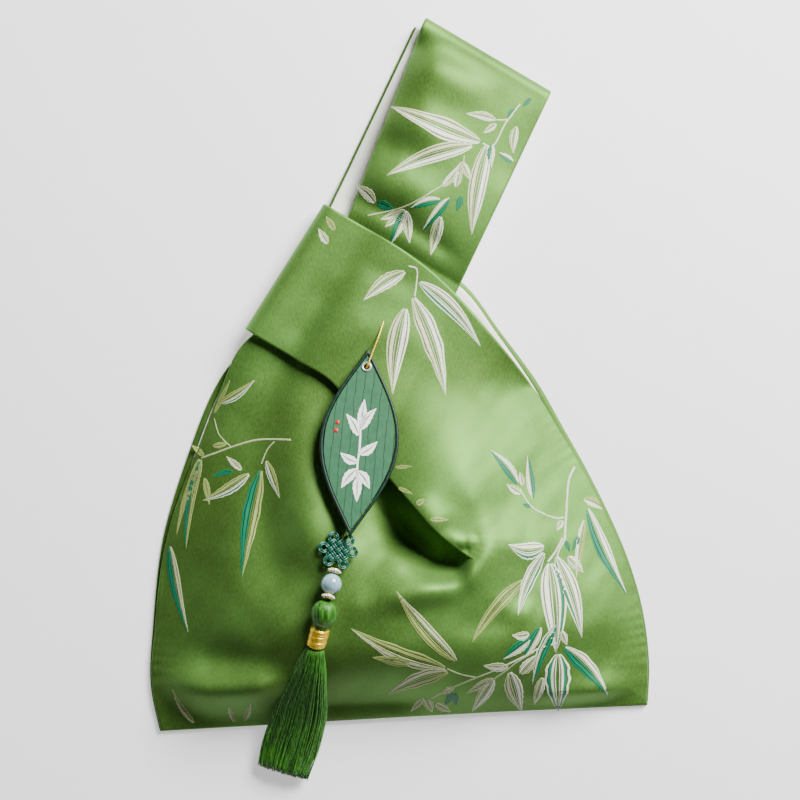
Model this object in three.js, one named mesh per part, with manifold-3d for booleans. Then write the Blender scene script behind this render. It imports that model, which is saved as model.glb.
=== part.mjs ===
// A fabric gift sack in the style of a wrist knot bag, lying on its back with its long handle pulled
// through its short one, and a leaf-shaped hang tag with a charm and a tassel lying on its front.
// Millimetres. +Z is up from the table, +Y points towards the handle, +X is to the right.
import * as THREE from "three";
import { mergeVertices } from "three/addons/utils/BufferGeometryUtils.js";
import Module from "manifold-3d";

const wasm = await Module();
wasm.setup();

// ---- Driving dimensions ----

// Cloth layers: the satin outside, the lining inside it, and the play between neighbours.
const OUTER = 1.0;
const LINING = 0.6;
const PLAY = 0.6;
const LINING_OFFSET = OUTER / 2 + PLAY + LINING / 2;

// The body is a soft pillow: sewn edge, full height low in the body, and a flatter top.
const BACK_Z = OUTER / 2;
const SEAM_Z = 2.3;
const BODY_RISE = 30;
const TOP_RISE = 14;
const RISE_STARTS_Y = -60;
const RISE_ENDS_Y = 50;
const PILLOW_ROUND = 60;

// The short handle's loop lies over the long handle; both are bowed across the strap.
const STRAP_BOW = 3.4;
const STRAP_EDGE_Z = 9;
const STRAP_BACK_Z = 3.2;
const LOOP_ABOVE_STRAP = 4.2;
const LOOP_FADE_START = 60;
const LOOP_FADE_LENGTH = 70;
const VALLEY = 50;
const CREASE_END = [36, -74];
const CREASE_OPENS_OVER = 8;
const BACK_STEP = 5;
const BACK_STEP_RUN = 14;
const CREASE_NOTCH = [[20, -80], [39, -62]];

// The long handle: its two edges where it leaves the loop, its run and its top fold.
const STRAP_DIRECTION = new THREE.Vector2(0.428, 0.904).normalize();
const FRONT_EDGES = [[-29, 90.4], [28.7, 56]];
const BACK_EDGES = [[-31.7, 92.0], [24.5, 58.5]];
const BACK_TOP = [[6.4, 180.0], [63.8, 146.2]];
const HANDLE_RUN = 96.7;
const HANDLE_TOP_Z = 10.5;
const HANDLE_BACK_Z = 0.8;
const HANDLE_LOFT = 4;
const NECK_DEPTH = 30;
const JOINT_GAP = 0.3;

// Outlines of the body, each from the bottom edge up.
const LEFT_SIDE = [
  [-117.6, -159.4], [-121, -139.6], [-120, -115], [-113.7, -67], [-96.8, -18.8],
  [-85.5, 9], [-77, 26], [-58.5, 42], [-43, 62],
];
const LEFT_SIDE_BACK = [
  [-118.4, -160.2], [-122, -139.6], [-121.2, -115], [-116, -67], [-100.5, -18],
  [-88.5, 9.5], [-75.5, 25], [-58.5, 40.5], [-45.2, 63.5],
];
const NECKLINE = [
  [36.5, -153], [36.5, -137], [36.5, -116], [36.5, -84], [34, -55],
  [30, -30], [25, -8], [20, 11], [15.4, 28],
];
const NECKLINE_BACK = [
  [36.5, -153], [36.5, -137], [36.5, -116], [36.5, -84], [34, -55],
  [29, -30], [23, -8], [17, 11], [10.8, 30.6],
];
const LOOP_EDGE = [
  [35.5, -153], [35.5, -130], [35.5, -105], [35.5, -86], [30, -68.5], [14, -54],
  [-2.7, -38.2], [-17, -15.5], [-31.6, 7.7], [-50.5, 20],
];
const RIGHT_SIDE = [
  [120.3, -148.5], [120.8, -128], [117.6, -104], [111, -81], [103, -59], [92, -34],
  [81.5, -13.5], [67.5, 9.5], [28.7, 56], [2, 71.8],
];
const RIGHT_SIDE_BACK = [
  [121.2, -149.4], [121.9, -128], [118.9, -103.6], [112.4, -80.4], [104.6, -58.2], [93.8, -33],
  [83.6, -12], [70.5, 12.5], [30.6, 57.6], [2.6, 72.4],
];
const FOLD_LINE = [[-74.1, 34.3], [-36.5, 94.7]];
const SIDE_SEAM_ENDS = { left: 7, right: 8 };

// The hang tag: a pointed leaf, its frame, and the hole that the thread goes through.
const TAG_HOLE = [-16.1, 15.6];
const TAG_HEADING = new THREE.Vector2(0.094, 0.9956).normalize();
const TAG_TILT = 0.197;
const TAG_UNDERSIDE_Z = 21;
const TAG_ABOVE_HOLE = 9.5;
const TAG_LENGTH = 92.6;
const TAG_HALF_WIDTH = 18.9;
const TAG_POINTEDNESS = 1.12;
const TAG_BORDER = 1.4;
const TAG_BORDER_SLANT = 1.16;
const TAG_THICK = 2.4;
const CARD_THICK = 1.8;
const TAG_HOLE_RADIUS = 2.2;
const EYELET_WALL = 0.5;

// The thread that carries the tag, and where it is sewn to the loop.
const THREAD_RADIUS = 0.45;
const THREAD_KNOT = [-8.6, 38.0];
const THREAD_KNOT_Z = 18.5;

// Charm, spacer rings, bead and tassel, from the tag's lower point down.
const CHARM_CENTRE = [-29.6, -71.7, 35.0];
const CHARM_THICK = 2.6;
const CHARM_BODY = 10.4;
const CHARM_LOOP_RADIUS = 2.9;
const CHARM_HOLE_RADIUS = 1.1;
const CHARM_TURN = -0.16;
const CHARM_TILT = 0.1;
const STRAND_TOP = [-30.9, -80.1, 36.4];
const STRAND_DIRECTION = new THREE.Vector3(-0.229, -0.973, 0.31).normalize();
const RING_RADIUS = 3.35;
const RING_THICK = 2.2;
const BEAD_RADIUS = 5;
const BORE_RADIUS = 0.85;
const CORE_RADIUS = 0.5;
const TASSEL_DIRECTION = new THREE.Vector3(-0.24, -0.93, -0.33).normalize();
const HEAD_RADIUS = 6.3;
const HEAD_LENGTH = 13.6;
const HEAD_PLAY = 0.9;
const WRAP_RADIUS = 4.7;
const WRAP_LENGTH = 10.4;
const SKIRT = [
  { at: [-40.4, -118.3, 33.3], wide: 5, thick: 4.4 },
  { at: [-42.6, -128, 29.0], wide: 7.8, thick: 4.5 },
  { at: [-45.2, -138, 22.8], wide: 10.6, thick: 4.4 },
  { at: [-47.4, -147, 16.9], wide: 12.6, thick: 4.3 },
  { at: [-49.9, -157, 11.4], wide: 13.4, thick: 4.2 },
  { at: [-54.0, -170, 6.2], wide: 14, thick: 4 },
  { at: [-57.6, -182, 4.2], wide: 12.6, thick: 3.6 },
];

// Mesh fineness. A lining is its panel's own mesh without the narrow margin along a sewn edge.
const FRONT_MESH = { columns: 11, rows: 18, margin: 0.05 };
const BACK_LEFT_MESH = { columns: 12, rows: 16, margin: 0.05 };
const BACK_RIGHT_MESH = { columns: 4, rows: 10, margin: 0.07 };
const STRAP_COLUMNS = 8;
const FOLD_STEPS = 6;
const LEAF_STEPS = 14;
const ROUND_STEPS = 18;

const material = (color, roughness, metalness = 0) =>
  new THREE.MeshStandardMaterial({ color, roughness, metalness });
const SATIN = () => material(0x4f8f2c, 0.45);
const CREAM = () => material(0xeef0e2, 0.6);

// ---- Plan geometry ----

const smooth = (t) => THREE.MathUtils.smoothstep(t, 0, 1);
const points2 = (list) => list.map(([x, y]) => new THREE.Vector2(x, y));
const foldAlong = new THREE.Vector2().subVectors(...points2([FOLD_LINE[1], FOLD_LINE[0]])).normalize();
const foldInward = new THREE.Vector2(foldAlong.y, -foldAlong.x);
const strapAcross = new THREE.Vector2(STRAP_DIRECTION.y, -STRAP_DIRECTION.x);
const SEAM = points2([
  ...LEFT_SIDE.slice(0, SIDE_SEAM_ENDS.left).reverse(),
  ...RIGHT_SIDE.slice(0, SIDE_SEAM_ENDS.right),
]);
const CREASE = points2([CREASE_END, ...LOOP_EDGE.slice(5), FOLD_LINE[0]]);

// The shortest way from a point to a polyline.
function distanceTo(line, x, y) {
  let least = Infinity;
  for (let i = 1; i < line.length; i++) {
    const [a, b] = [line[i - 1], line[i]];
    const run = b.clone().sub(a);
    const along = ((x - a.x) * run.x + (y - a.y) * run.y) / run.lengthSq();
    const near = a.clone().addScaledVector(run, THREE.MathUtils.clamp(along, 0, 1));
    least = Math.min(least, Math.hypot(x - near.x, y - near.y));
  }
  return least;
}

// How far across the long handle's strap a point lies: -1 and 1 are its edges.
function acrossStrap(x, y) {
  const [left, right] = FRONT_EDGES.map(([ex, ey]) => ex * strapAcross.x + ey * strapAcross.y);
  const here = x * strapAcross.x + y * strapAcross.y;
  return (2 * here - left - right) / (right - left);
}

const bow = (across) => STRAP_BOW * Math.max(0, 1 - across * across);

// ---- Heights of the cloth layers' middle surfaces ----

function pillowHeight(x, y) {
  const rise = THREE.MathUtils.lerp(
    BODY_RISE, TOP_RISE, smooth((y - RISE_STARTS_Y) / (RISE_ENDS_Y - RISE_STARTS_Y)),
  );
  const inward = Math.min(distanceTo(SEAM, x, y) / PILLOW_ROUND, 1);
  return SEAM_Z + rise * Math.sin((inward * Math.PI) / 2);
}

// The right half of the front and the short handle's loop over the strap.
function rightFrontHeight(x, y) {
  const fromFold = (x - FOLD_LINE[0][0]) * foldInward.x + (y - FOLD_LINE[0][1]) * foldInward.y;
  const loop = STRAP_EDGE_Z + LOOP_ABOVE_STRAP + bow(acrossStrap(x, y));
  return THREE.MathUtils.lerp(
    loop, pillowHeight(x, y), smooth((fromFold - LOOP_FADE_START) / LOOP_FADE_LENGTH),
  );
}

// The left half of the front, which runs in under the loop.
function leftFrontHeight(x, y) {
  const gap = LOOP_ABOVE_STRAP * smooth((y - CREASE_END[1]) / CREASE_OPENS_OVER);
  const under = rightFrontHeight(x, y) - gap;
  const away = underLoop(x, y) ? 0 : distanceTo(CREASE, x, y);
  return THREE.MathUtils.lerp(under, pillowHeight(x, y), smooth(away / VALLEY));
}

// Whether a point lies on the loop's side of the crease.
function underLoop(x, y) {
  for (let i = 1; i < CREASE.length; i++) {
    const [a, b] = [CREASE[i - 1], CREASE[i]];
    const inSpan = x <= a.x && x > b.x;
    if (inSpan) return (y - a.y) * (b.x - a.x) - (x - a.x) * (b.y - a.y) < 0;
  }
  return x > CREASE[0].x;
}

// The left half of the back, which steps up over the short handle's back layer.
function leftBackHeight(x, y) {
  const away = underLoop(x, y) ? 0 : distanceTo(CREASE, x, y);
  const step = (1 - smooth((away - BACK_STEP) / BACK_STEP_RUN)) * smooth((y - CREASE_END[1]) / CREASE_OPENS_OVER);
  return BACK_Z + (STRAP_BACK_Z - BACK_Z) * step;
}

const rightBackHeight = () => BACK_Z;

// ---- Solids ----

function geometryOf(positions, index) {
  const geometry = new THREE.BufferGeometry();
  geometry.setAttribute("position", new THREE.Float32BufferAttribute(positions, 3));
  geometry.setIndex(index);
  return geometry;
}

function solidOf(geometry) {
  const bare = geometry.clone();
  bare.deleteAttribute("normal");
  bare.deleteAttribute("uv");
  const merged = mergeVertices(bare, 1e-4);
  return new wasm.Manifold(new wasm.Mesh({
    numProp: 3,
    vertProperties: merged.attributes.position.array,
    triVerts: new Uint32Array(merged.index.array),
  }));
}

function geometryOfSolid(solid) {
  const mesh = solid.getMesh();
  return geometryOf(Array.from(mesh.vertProperties), Array.from(mesh.triVerts));
}

function union(...geometries) {
  return geometryOfSolid(geometries.map(solidOf).reduce((a, b) => a.add(b)));
}

// A grid of middle-surface points becomes a layer of cloth, offset along the surface's own normal.
function clothOf(grid, offset, thickness) {
  const rows = grid.length;
  const columns = grid[0].length;
  const normalAt = (j, i) => {
    const across = grid[j][Math.min(i + 1, columns - 1)].clone().sub(grid[j][Math.max(i - 1, 0)]);
    const along = grid[Math.min(j + 1, rows - 1)][i].clone().sub(grid[Math.max(j - 1, 0)][i]);
    return across.cross(along).normalize();
  };
  const positions = [];
  for (const side of [1, -1]) {
    for (let j = 0; j < rows; j++) {
      for (let i = 0; i < columns; i++) {
        const away = offset + (side * thickness) / 2;
        positions.push(...grid[j][i].clone().addScaledVector(normalAt(j, i), away).toArray());
      }
    }
  }
  const under = rows * columns;
  const index = [];
  for (let j = 0; j < rows - 1; j++) {
    for (let i = 0; i < columns - 1; i++) {
      const [a, b, c, d] = [j * columns + i, j * columns + i + 1, (j + 1) * columns + i + 1, (j + 1) * columns + i];
      index.push(a, b, c, a, c, d);
      index.push(under + a, under + c, under + b, under + a, under + d, under + c);
    }
  }
  const rim = [];
  for (let i = 0; i < columns - 1; i++) rim.push(i);
  for (let j = 0; j < rows - 1; j++) rim.push(j * columns + columns - 1);
  for (let i = columns - 1; i > 0; i--) rim.push((rows - 1) * columns + i);
  for (let j = rows - 1; j > 0; j--) rim.push(j * columns);
  rim.forEach((a, k) => {
    const b = rim[(k + 1) % rim.length];
    index.push(a, under + a, under + b, a, under + b, b);
  });
  return geometryOf(positions, index);
}

// Even fractions from 0 to 1, with a narrow margin at each end.
function stations(count, margin) {
  const list = [0];
  for (let k = 0; k <= count; k++) list.push(THREE.MathUtils.lerp(margin, 1 - margin, k / count));
  return [...list, 1];
}

// Rows of points between two outlines, lifted to a height.
function panelGrid(left, right, height, { columns, rows, margin }) {
  const leftCurve = new THREE.SplineCurve(points2(left));
  const rightCurve = new THREE.SplineCurve(points2(right));
  return stations(rows, margin).map((v) => {
    const [a, b] = [leftCurve.getPoint(v), rightCurve.getPoint(v)];
    return stations(columns, margin).map((u) => {
      const at = a.clone().lerp(b, u);
      return new THREE.Vector3(at.x, at.y, height(at.x, at.y));
    });
  });
}

// A panel's grid without its bottom margin and its left or right one.
function insideMargins(grid, side) {
  return grid.slice(1).map((row) => (side === "left" ? row.slice(1) : row.slice(0, -1)));
}

// Carries the last row of a grid round a half turn, out and down to a lower layer.
function foldUnder(grid, outward, lowerZ) {
  const last = grid[grid.length - 1];
  const radius = (last[0].z - lowerZ) / 2;
  for (let k = 1; k <= FOLD_STEPS; k++) {
    const angle = (k / FOLD_STEPS) * Math.PI;
    grid.push(last.map((p) => new THREE.Vector3(
      p.x + outward.x * radius * Math.sin(angle),
      p.y + outward.y * radius * Math.sin(angle),
      p.z - radius * (1 - Math.cos(angle)),
    )));
  }
  return grid;
}

// A stretch of strap between two edges, from one distance along it to another.
function strapGrid(edges, from, to, steps, height) {
  const [left, right] = points2(edges);
  const grid = [];
  for (let j = 0; j <= steps; j++) {
    const run = THREE.MathUtils.lerp(from, to, j / steps);
    const row = [];
    for (let i = 0; i <= STRAP_COLUMNS; i++) {
      const at = left.clone().lerp(right, i / STRAP_COLUMNS).addScaledVector(STRAP_DIRECTION, run);
      row.push(new THREE.Vector3(at.x, at.y, height(at.x, at.y, run)));
    }
    grid.push(row);
  }
  return grid;
}

const group = new THREE.Group();

function addPiece(name, geometry, look, parent = group) {
  const mesh = new THREE.Mesh(geometry, look);
  mesh.name = name;
  parent.add(mesh);
  return mesh;
}

// ---- Bag body and the short handle's loop ----

const foldRadius = (STRAP_EDGE_Z + LOOP_ABOVE_STRAP - BACK_Z) / 2;
const inFromFold = (distance) => FOLD_LINE.map(([x, y]) => [
  x + foldInward.x * distance, y + foldInward.y * distance,
]);

// Both halves of a lining in one piece, notched where the crease ends and its layers close up.
function liningOf(leftGrid, rightGrid, offset) {
  const [[x0, y0], [x1, y1]] = CREASE_NOTCH;
  const notch = new THREE.BoxGeometry(x1 - x0, y1 - y0, 4 * BODY_RISE);
  notch.translate((x0 + x1) / 2, (y0 + y1) / 2, 0);
  const whole = solidOf(clothOf(leftGrid, offset, LINING)).add(solidOf(clothOf(rightGrid, offset, LINING)));
  return geometryOfSolid(whole.subtract(solidOf(notch)));
}

function addFront() {
  const left = panelGrid(LEFT_SIDE, NECKLINE, leftFrontHeight, FRONT_MESH);
  const [low, high] = inFromFold(foldRadius);
  const right = foldUnder(
    panelGrid([...LOOP_EDGE, low], [...RIGHT_SIDE, high], rightFrontHeight, FRONT_MESH),
    foldInward.clone().negate(), BACK_Z,
  );
  addPiece("front_panel", union(clothOf(left, 0, OUTER), clothOf(right, 0, OUTER)), SATIN());
  addPiece(
    "front_lining",
    liningOf(insideMargins(left, "left"), insideMargins(right, "right"), -LINING_OFFSET),
    CREAM(),
  );
}

function addBack() {
  const left = panelGrid(LEFT_SIDE_BACK, NECKLINE_BACK, leftBackHeight, BACK_LEFT_MESH);
  const [low, high] = inFromFold(foldRadius + 2 * PLAY);
  const right = panelGrid([...LOOP_EDGE, low], [...RIGHT_SIDE_BACK, high], rightBackHeight, BACK_RIGHT_MESH);
  addPiece("back_panel", union(clothOf(left, 0, OUTER), clothOf(right, 0, OUTER)), SATIN());
  addPiece(
    "back_lining",
    liningOf(insideMargins(left, "left"), insideMargins(right, "right"), LINING_OFFSET),
    CREAM(),
  );
}

// ---- Long handle: the neck slides inside the loop, the handle lifts from it ----

const neckTopHeight = (x, y) => STRAP_EDGE_Z + bow(acrossStrap(x, y));

function handleTopHeight(x, y, run) {
  const flat = smooth((run - 55) / (HANDLE_RUN - 55));
  const loft = HANDLE_LOFT * Math.sin((Math.PI * THREE.MathUtils.clamp(run / HANDLE_RUN, 0, 1))) ** 2;
  return THREE.MathUtils.lerp(neckTopHeight(x, y), HANDLE_TOP_Z, flat) + loft;
}

function addNeck() {
  const top = strapGrid(FRONT_EDGES, -NECK_DEPTH, -1.3, 3, neckTopHeight);
  const bottom = strapGrid(BACK_EDGES, -NECK_DEPTH, -1.3, 3, () => STRAP_BACK_Z);
  addPiece("neck_front", clothOf(top, 0, OUTER), SATIN());
  addPiece("neck_front_lining", clothOf(top, -LINING_OFFSET, LINING), CREAM());
  addPiece("neck_back", clothOf(bottom, 0, OUTER), SATIN());
  addPiece("neck_back_lining", clothOf(bottom, LINING_OFFSET, LINING), CREAM());
}

function addHandle() {
  const start = -1.3 + JOINT_GAP;
  const top = foldUnder(
    strapGrid(FRONT_EDGES, start, HANDLE_RUN, 12, handleTopHeight), STRAP_DIRECTION, HANDLE_BACK_Z,
  );
  addPiece("handle_front", clothOf(top, 0, OUTER), SATIN());
  addPiece("handle_front_lining", clothOf(top, -LINING_OFFSET, LINING), CREAM());
  const foot = points2(BACK_EDGES).map((p) => p.addScaledVector(STRAP_DIRECTION, start));
  const head = points2(BACK_TOP);
  const grid = [];
  for (let j = 0; j <= 12; j++) {
    const t = j / 12;
    const [a, b] = [0, 1].map((k) => foot[k].clone().lerp(head[k], t));
    const z = STRAP_BACK_Z - (STRAP_BACK_Z - HANDLE_BACK_Z) * smooth((t * HANDLE_RUN - 4) / 25);
    const row = [];
    for (let i = 0; i <= STRAP_COLUMNS; i++) {
      const at = a.clone().lerp(b, i / STRAP_COLUMNS);
      row.push(new THREE.Vector3(at.x, at.y, z));
    }
    grid.push(row);
  }
  addPiece("handle_back", clothOf(grid, 0, OUTER), SATIN());
  addPiece("handle_back_lining", clothOf(grid, LINING_OFFSET, LINING), CREAM());
}

// ---- Hang tag ----

// The leaf outline, or one that lies a border's width inside it.
function leafPoints(inset) {
  const narrowing = inset * TAG_BORDER_SLANT;
  const start = Math.asin((narrowing / TAG_HALF_WIDTH) ** (1 / TAG_POINTEDNESS)) / Math.PI;
  const list = [];
  for (const sign of [1, -1]) {
    for (let k = 0; k < LEAF_STEPS; k++) {
      const t = THREE.MathUtils.lerp(start, 1 - start, k / LEAF_STEPS);
      const x = TAG_HALF_WIDTH * Math.sin(Math.PI * t) ** TAG_POINTEDNESS - narrowing;
      const fromMiddle = TAG_LENGTH * (t - 0.5);
      list.push(new THREE.Vector2(sign * x, TAG_ABOVE_HOLE - TAG_LENGTH / 2 + sign * fromMiddle));
    }
  }
  return list;
}

function extruded(shape, depth) {
  return new THREE.ExtrudeGeometry(shape, { depth, bevelEnabled: false, curveSegments: 10 });
}

function addTag() {
  const tag = new THREE.Group();
  const run = Math.cos(Math.atan(TAG_TILT));
  const up = new THREE.Vector3(TAG_HEADING.x * run, TAG_HEADING.y * run, -Math.sin(Math.atan(TAG_TILT)));
  const across = new THREE.Vector3(TAG_HEADING.y, -TAG_HEADING.x, 0);
  tag.quaternion.setFromRotationMatrix(
    new THREE.Matrix4().makeBasis(across, up, across.clone().cross(up)),
  );
  tag.position.set(TAG_HOLE[0], TAG_HOLE[1], TAG_UNDERSIDE_Z);
  group.add(tag);
  const frame = new THREE.Shape(leafPoints(0));
  frame.holes.push(new THREE.Path(leafPoints(TAG_BORDER)));
  addPiece("tag_frame", extruded(frame, TAG_THICK), material(0x16382a, 0.35), tag);
  const card = new THREE.Shape(leafPoints(TAG_BORDER + JOINT_GAP));
  card.holes.push(new THREE.Path().absarc(0, 0, TAG_HOLE_RADIUS, 0, 2 * Math.PI));
  const cardPiece = addPiece("tag_card", extruded(card, CARD_THICK), material(0x5fa578, 0.5), tag);
  cardPiece.position.z = (TAG_THICK - CARD_THICK) / 2;
  const rimOut = TAG_HOLE_RADIUS - JOINT_GAP;
  const rimIn = rimOut - EYELET_WALL;
  const eyelet = new THREE.LatheGeometry(
    [[rimIn, 0], [rimOut, 0], [rimOut, TAG_THICK], [rimIn, TAG_THICK], [rimIn, 0]]
      .map(([x, y]) => new THREE.Vector2(x, y)), ROUND_STEPS,
  );
  addPiece("tag_eyelet", eyelet, material(0xcfd8c8, 0.4), tag).rotation.x = Math.PI / 2;
}

function tubeAlong(path, radius, steps) {
  const section = new THREE.Shape();
  section.absarc(0, 0, radius, 0, 2 * Math.PI);
  return new THREE.ExtrudeGeometry(section, {
    steps, extrudePath: new THREE.CatmullRomCurve3(path), curveSegments: 4, bevelEnabled: false,
  });
}

function addThread() {
  const [hx, hy] = TAG_HOLE;
  const [kx, ky] = THREAD_KNOT;
  const over = TAG_UNDERSIDE_Z + TAG_THICK + THREAD_RADIUS + JOINT_GAP;
  const path = [
    [kx + 0.7, ky, THREAD_KNOT_Z],
    [kx - 1.6, ky - 7, over - 3.2],
    [hx + 3.2, hy + 8.2, over - 1.5],
    [hx + 0.6, hy + 1.2, over],
    [hx, hy - 0.1, TAG_UNDERSIDE_Z + TAG_THICK / 2],
    [hx + 0.3, hy + 1.2, TAG_UNDERSIDE_Z - 1.4],
    [hx + 2.6, hy + 8.6, TAG_UNDERSIDE_Z - 2.8],
    [kx - 1.4, ky - 3, THREAD_KNOT_Z - 0.2],
  ].map((p) => new THREE.Vector3(...p));
  addPiece("hang_thread", tubeAlong(path, THREAD_RADIUS, 30), material(0xe3c03a, 0.3, 0.6));
}

// ---- Charm, beads and tassel ----

function addCharm() {
  const charm = new THREE.Group();
  charm.position.set(...CHARM_CENTRE);
  charm.rotation.set(-CHARM_TILT, 0, CHARM_TURN);
  group.add(charm);
  const loops = [[-6.9, 0.4], [6.9, 0.4], [-3.1, 5.9], [4.4, 5.6], [-3.6, -5.4], [3.4, -5.8]];
  const half = CHARM_BODY / 2;
  const body = new THREE.Shape(points2([[-half, -half], [half, -half], [half, half], [-half, half]]));
  const pieces = loops.map(([x, y]) => {
    const ring = new THREE.Shape();
    ring.absarc(x, y, CHARM_LOOP_RADIUS, 0, 2 * Math.PI);
    ring.holes.push(new THREE.Path().absarc(x, y, CHARM_HOLE_RADIUS, 0, 2 * Math.PI));
    return extruded(ring, CHARM_THICK);
  });
  const geometry = union(extruded(body, CHARM_THICK), ...pieces);
  geometry.translate(0, 0, -CHARM_THICK / 2);
  addPiece("charm_knot", geometry, material(0x0f6b52, 0.35), charm);
}

// A solid of revolution, closed on its bore, with its axis along a direction.
function turned(name, profile, at, direction, look) {
  const geometry = new THREE.LatheGeometry(points2(profile), ROUND_STEPS);
  const piece = addPiece(name, geometry, look);
  piece.position.copy(at);
  piece.quaternion.setFromUnitVectors(new THREE.Vector3(0, 1, 0), direction);
}

function addStrand() {
  const top = new THREE.Vector3(...STRAND_TOP);
  const along = (distance) => top.clone().addScaledVector(STRAND_DIRECTION, distance);
  const ring = (half) => [
    [BORE_RADIUS, -half], [RING_RADIUS - 0.6, -half], [RING_RADIUS, 0],
    [RING_RADIUS - 0.6, half], [BORE_RADIUS, half], [BORE_RADIUS, -half],
  ];
  const gold = () => material(0xd8c46a, 0.25, 0.8);
  const firstRing = JOINT_GAP + RING_THICK / 2;
  const beadAt = firstRing + RING_THICK / 2 + JOINT_GAP + BEAD_RADIUS;
  const lastRing = beadAt + BEAD_RADIUS + JOINT_GAP + RING_THICK / 2;
  const coreLength = lastRing + RING_THICK / 2 + JOINT_GAP;
  turned("ring_upper", ring(RING_THICK / 2), along(firstRing), STRAND_DIRECTION, gold());
  turned("ring_lower", ring(RING_THICK / 2), along(lastRing), STRAND_DIRECTION, gold());
  const bead = [];
  const mouth = Math.asin(BORE_RADIUS / BEAD_RADIUS);
  for (let k = 0; k <= 10; k++) {
    const angle = -Math.PI / 2 + mouth + (k / 10) * (Math.PI - 2 * mouth);
    bead.push([BEAD_RADIUS * Math.cos(angle), BEAD_RADIUS * Math.sin(angle)]);
  }
  bead.push(bead[0]);
  turned("bead", bead, along(beadAt), STRAND_DIRECTION, material(0xaac3cf, 0.12));
  const core = [[0, 0], [CORE_RADIUS, 0], [CORE_RADIUS, coreLength], [0, coreLength]];
  turned("core_cord", core, along(0), STRAND_DIRECTION, material(0x0f5a46, 0.7));
  return along(coreLength + HEAD_PLAY);
}

function addTassel(top) {
  const along = (distance) => top.clone().addScaledVector(TASSEL_DIRECTION, distance);
  const head = [[0, 0]];
  for (let k = 1; k <= 9; k++) {
    const t = k / 9;
    const bulb = Math.sin(Math.PI * Math.min(t * 0.9 + 0.06, 1) ** 0.9) ** 0.6;
    head.push([Math.max(HEAD_RADIUS * bulb, WRAP_RADIUS - 0.6), t * HEAD_LENGTH]);
  }
  head.push([0, HEAD_LENGTH]);
  turned("tassel_head", head, top, TASSEL_DIRECTION, material(0x3f8a2e, 0.6));
  const wrapStart = HEAD_LENGTH + JOINT_GAP;
  const wrap = [
    [0, 0], [WRAP_RADIUS - 0.4, 0], [WRAP_RADIUS, 0.5], [WRAP_RADIUS, WRAP_LENGTH - 0.5],
    [WRAP_RADIUS - 0.4, WRAP_LENGTH], [0, WRAP_LENGTH],
  ];
  turned("tassel_wrap", wrap, along(wrapStart), TASSEL_DIRECTION, material(0xe0b62e, 0.3, 0.8));
  addPiece("tassel_skirt", skirtGeometry(), material(0x2f6f25, 0.6));
}

// Oval sections from the wrap down over the bag's lower edge to the table.
function skirtGeometry() {
  const sides = 14;
  const positions = [];
  const index = [];
  const centres = SKIRT.map(({ at }) => new THREE.Vector3(...at));
  SKIRT.forEach(({ wide, thick }, j) => {
    const before = centres[Math.max(j - 1, 0)];
    const after = centres[Math.min(j + 1, centres.length - 1)];
    const along = after.clone().sub(before).normalize();
    const across = new THREE.Vector3(0, 0, 1).cross(along).normalize().negate();
    const up = across.clone().cross(along).normalize();
    for (let k = 0; k < sides; k++) {
      const angle = (k / sides) * 2 * Math.PI;
      const point = centres[j].clone()
        .addScaledVector(across, wide * Math.cos(angle))
        .addScaledVector(up, thick * Math.sin(angle));
      positions.push(...point.toArray());
    }
  });
  const last = (SKIRT.length - 1) * sides;
  for (let k = 0; k < sides; k++) {
    const next = (k + 1) % sides;
    for (let j = 0; j < SKIRT.length - 1; j++) {
      const [a, b] = [j * sides + k, j * sides + next];
      index.push(a, b + sides, b, a, a + sides, b + sides);
    }
    if (k > 0 && k < sides - 1) {
      index.push(0, k, k + 1);
      index.push(last, last + k + 1, last + k);
    }
  }
  return geometryOf(positions, index);
}

addFront();
addBack();
addNeck();
addHandle();
addTag();
addThread();
addCharm();
addTassel(addStrand());

// The origin is at the middle of the footprint, on the table.
const box = new THREE.Box3().setFromObject(group);
const middle = box.getCenter(new THREE.Vector3());
group.position.set(-middle.x, -middle.y, -box.min.z);

export default group;
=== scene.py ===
"""The looks of a fabric gift sack with a leaf-shaped hang tag and a tassel, lying on its back.

Shapes are drawn in millimetres in the part's drawing frame: +Z is up from the table, +Y points to
the long handle and +X is to the right. world() turns them into the shared frame, in metres.
"""
import math

import bpy
import numpy as np
from mathutils import Euler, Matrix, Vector

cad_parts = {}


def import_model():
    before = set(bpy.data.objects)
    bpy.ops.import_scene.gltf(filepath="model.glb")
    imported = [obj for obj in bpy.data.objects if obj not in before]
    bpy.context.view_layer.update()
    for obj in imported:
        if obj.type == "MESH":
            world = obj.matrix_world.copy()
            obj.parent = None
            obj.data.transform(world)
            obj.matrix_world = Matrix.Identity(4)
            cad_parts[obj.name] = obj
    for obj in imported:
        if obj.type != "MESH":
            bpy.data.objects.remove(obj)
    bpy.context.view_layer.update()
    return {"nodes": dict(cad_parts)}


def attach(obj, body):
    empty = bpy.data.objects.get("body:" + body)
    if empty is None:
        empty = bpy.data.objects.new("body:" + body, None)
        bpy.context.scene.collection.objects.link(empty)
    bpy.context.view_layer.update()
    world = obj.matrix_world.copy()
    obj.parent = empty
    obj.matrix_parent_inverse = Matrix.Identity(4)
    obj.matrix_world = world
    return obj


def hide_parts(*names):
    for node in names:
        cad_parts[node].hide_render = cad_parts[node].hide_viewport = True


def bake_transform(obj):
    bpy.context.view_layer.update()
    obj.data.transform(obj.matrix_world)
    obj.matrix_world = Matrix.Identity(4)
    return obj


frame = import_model()
random = np.random.default_rng(7)

# ---- Driving dimensions, in millimetres ----

FRAME_SHIFT = (0.1410, 1.5041, 0.0)
CLOTH = 0.9
LINING = 0.5
LINING_OFFSET = 1.3
LEAF_THICK = 0.12
FOLD_STEPS = 14

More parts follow.
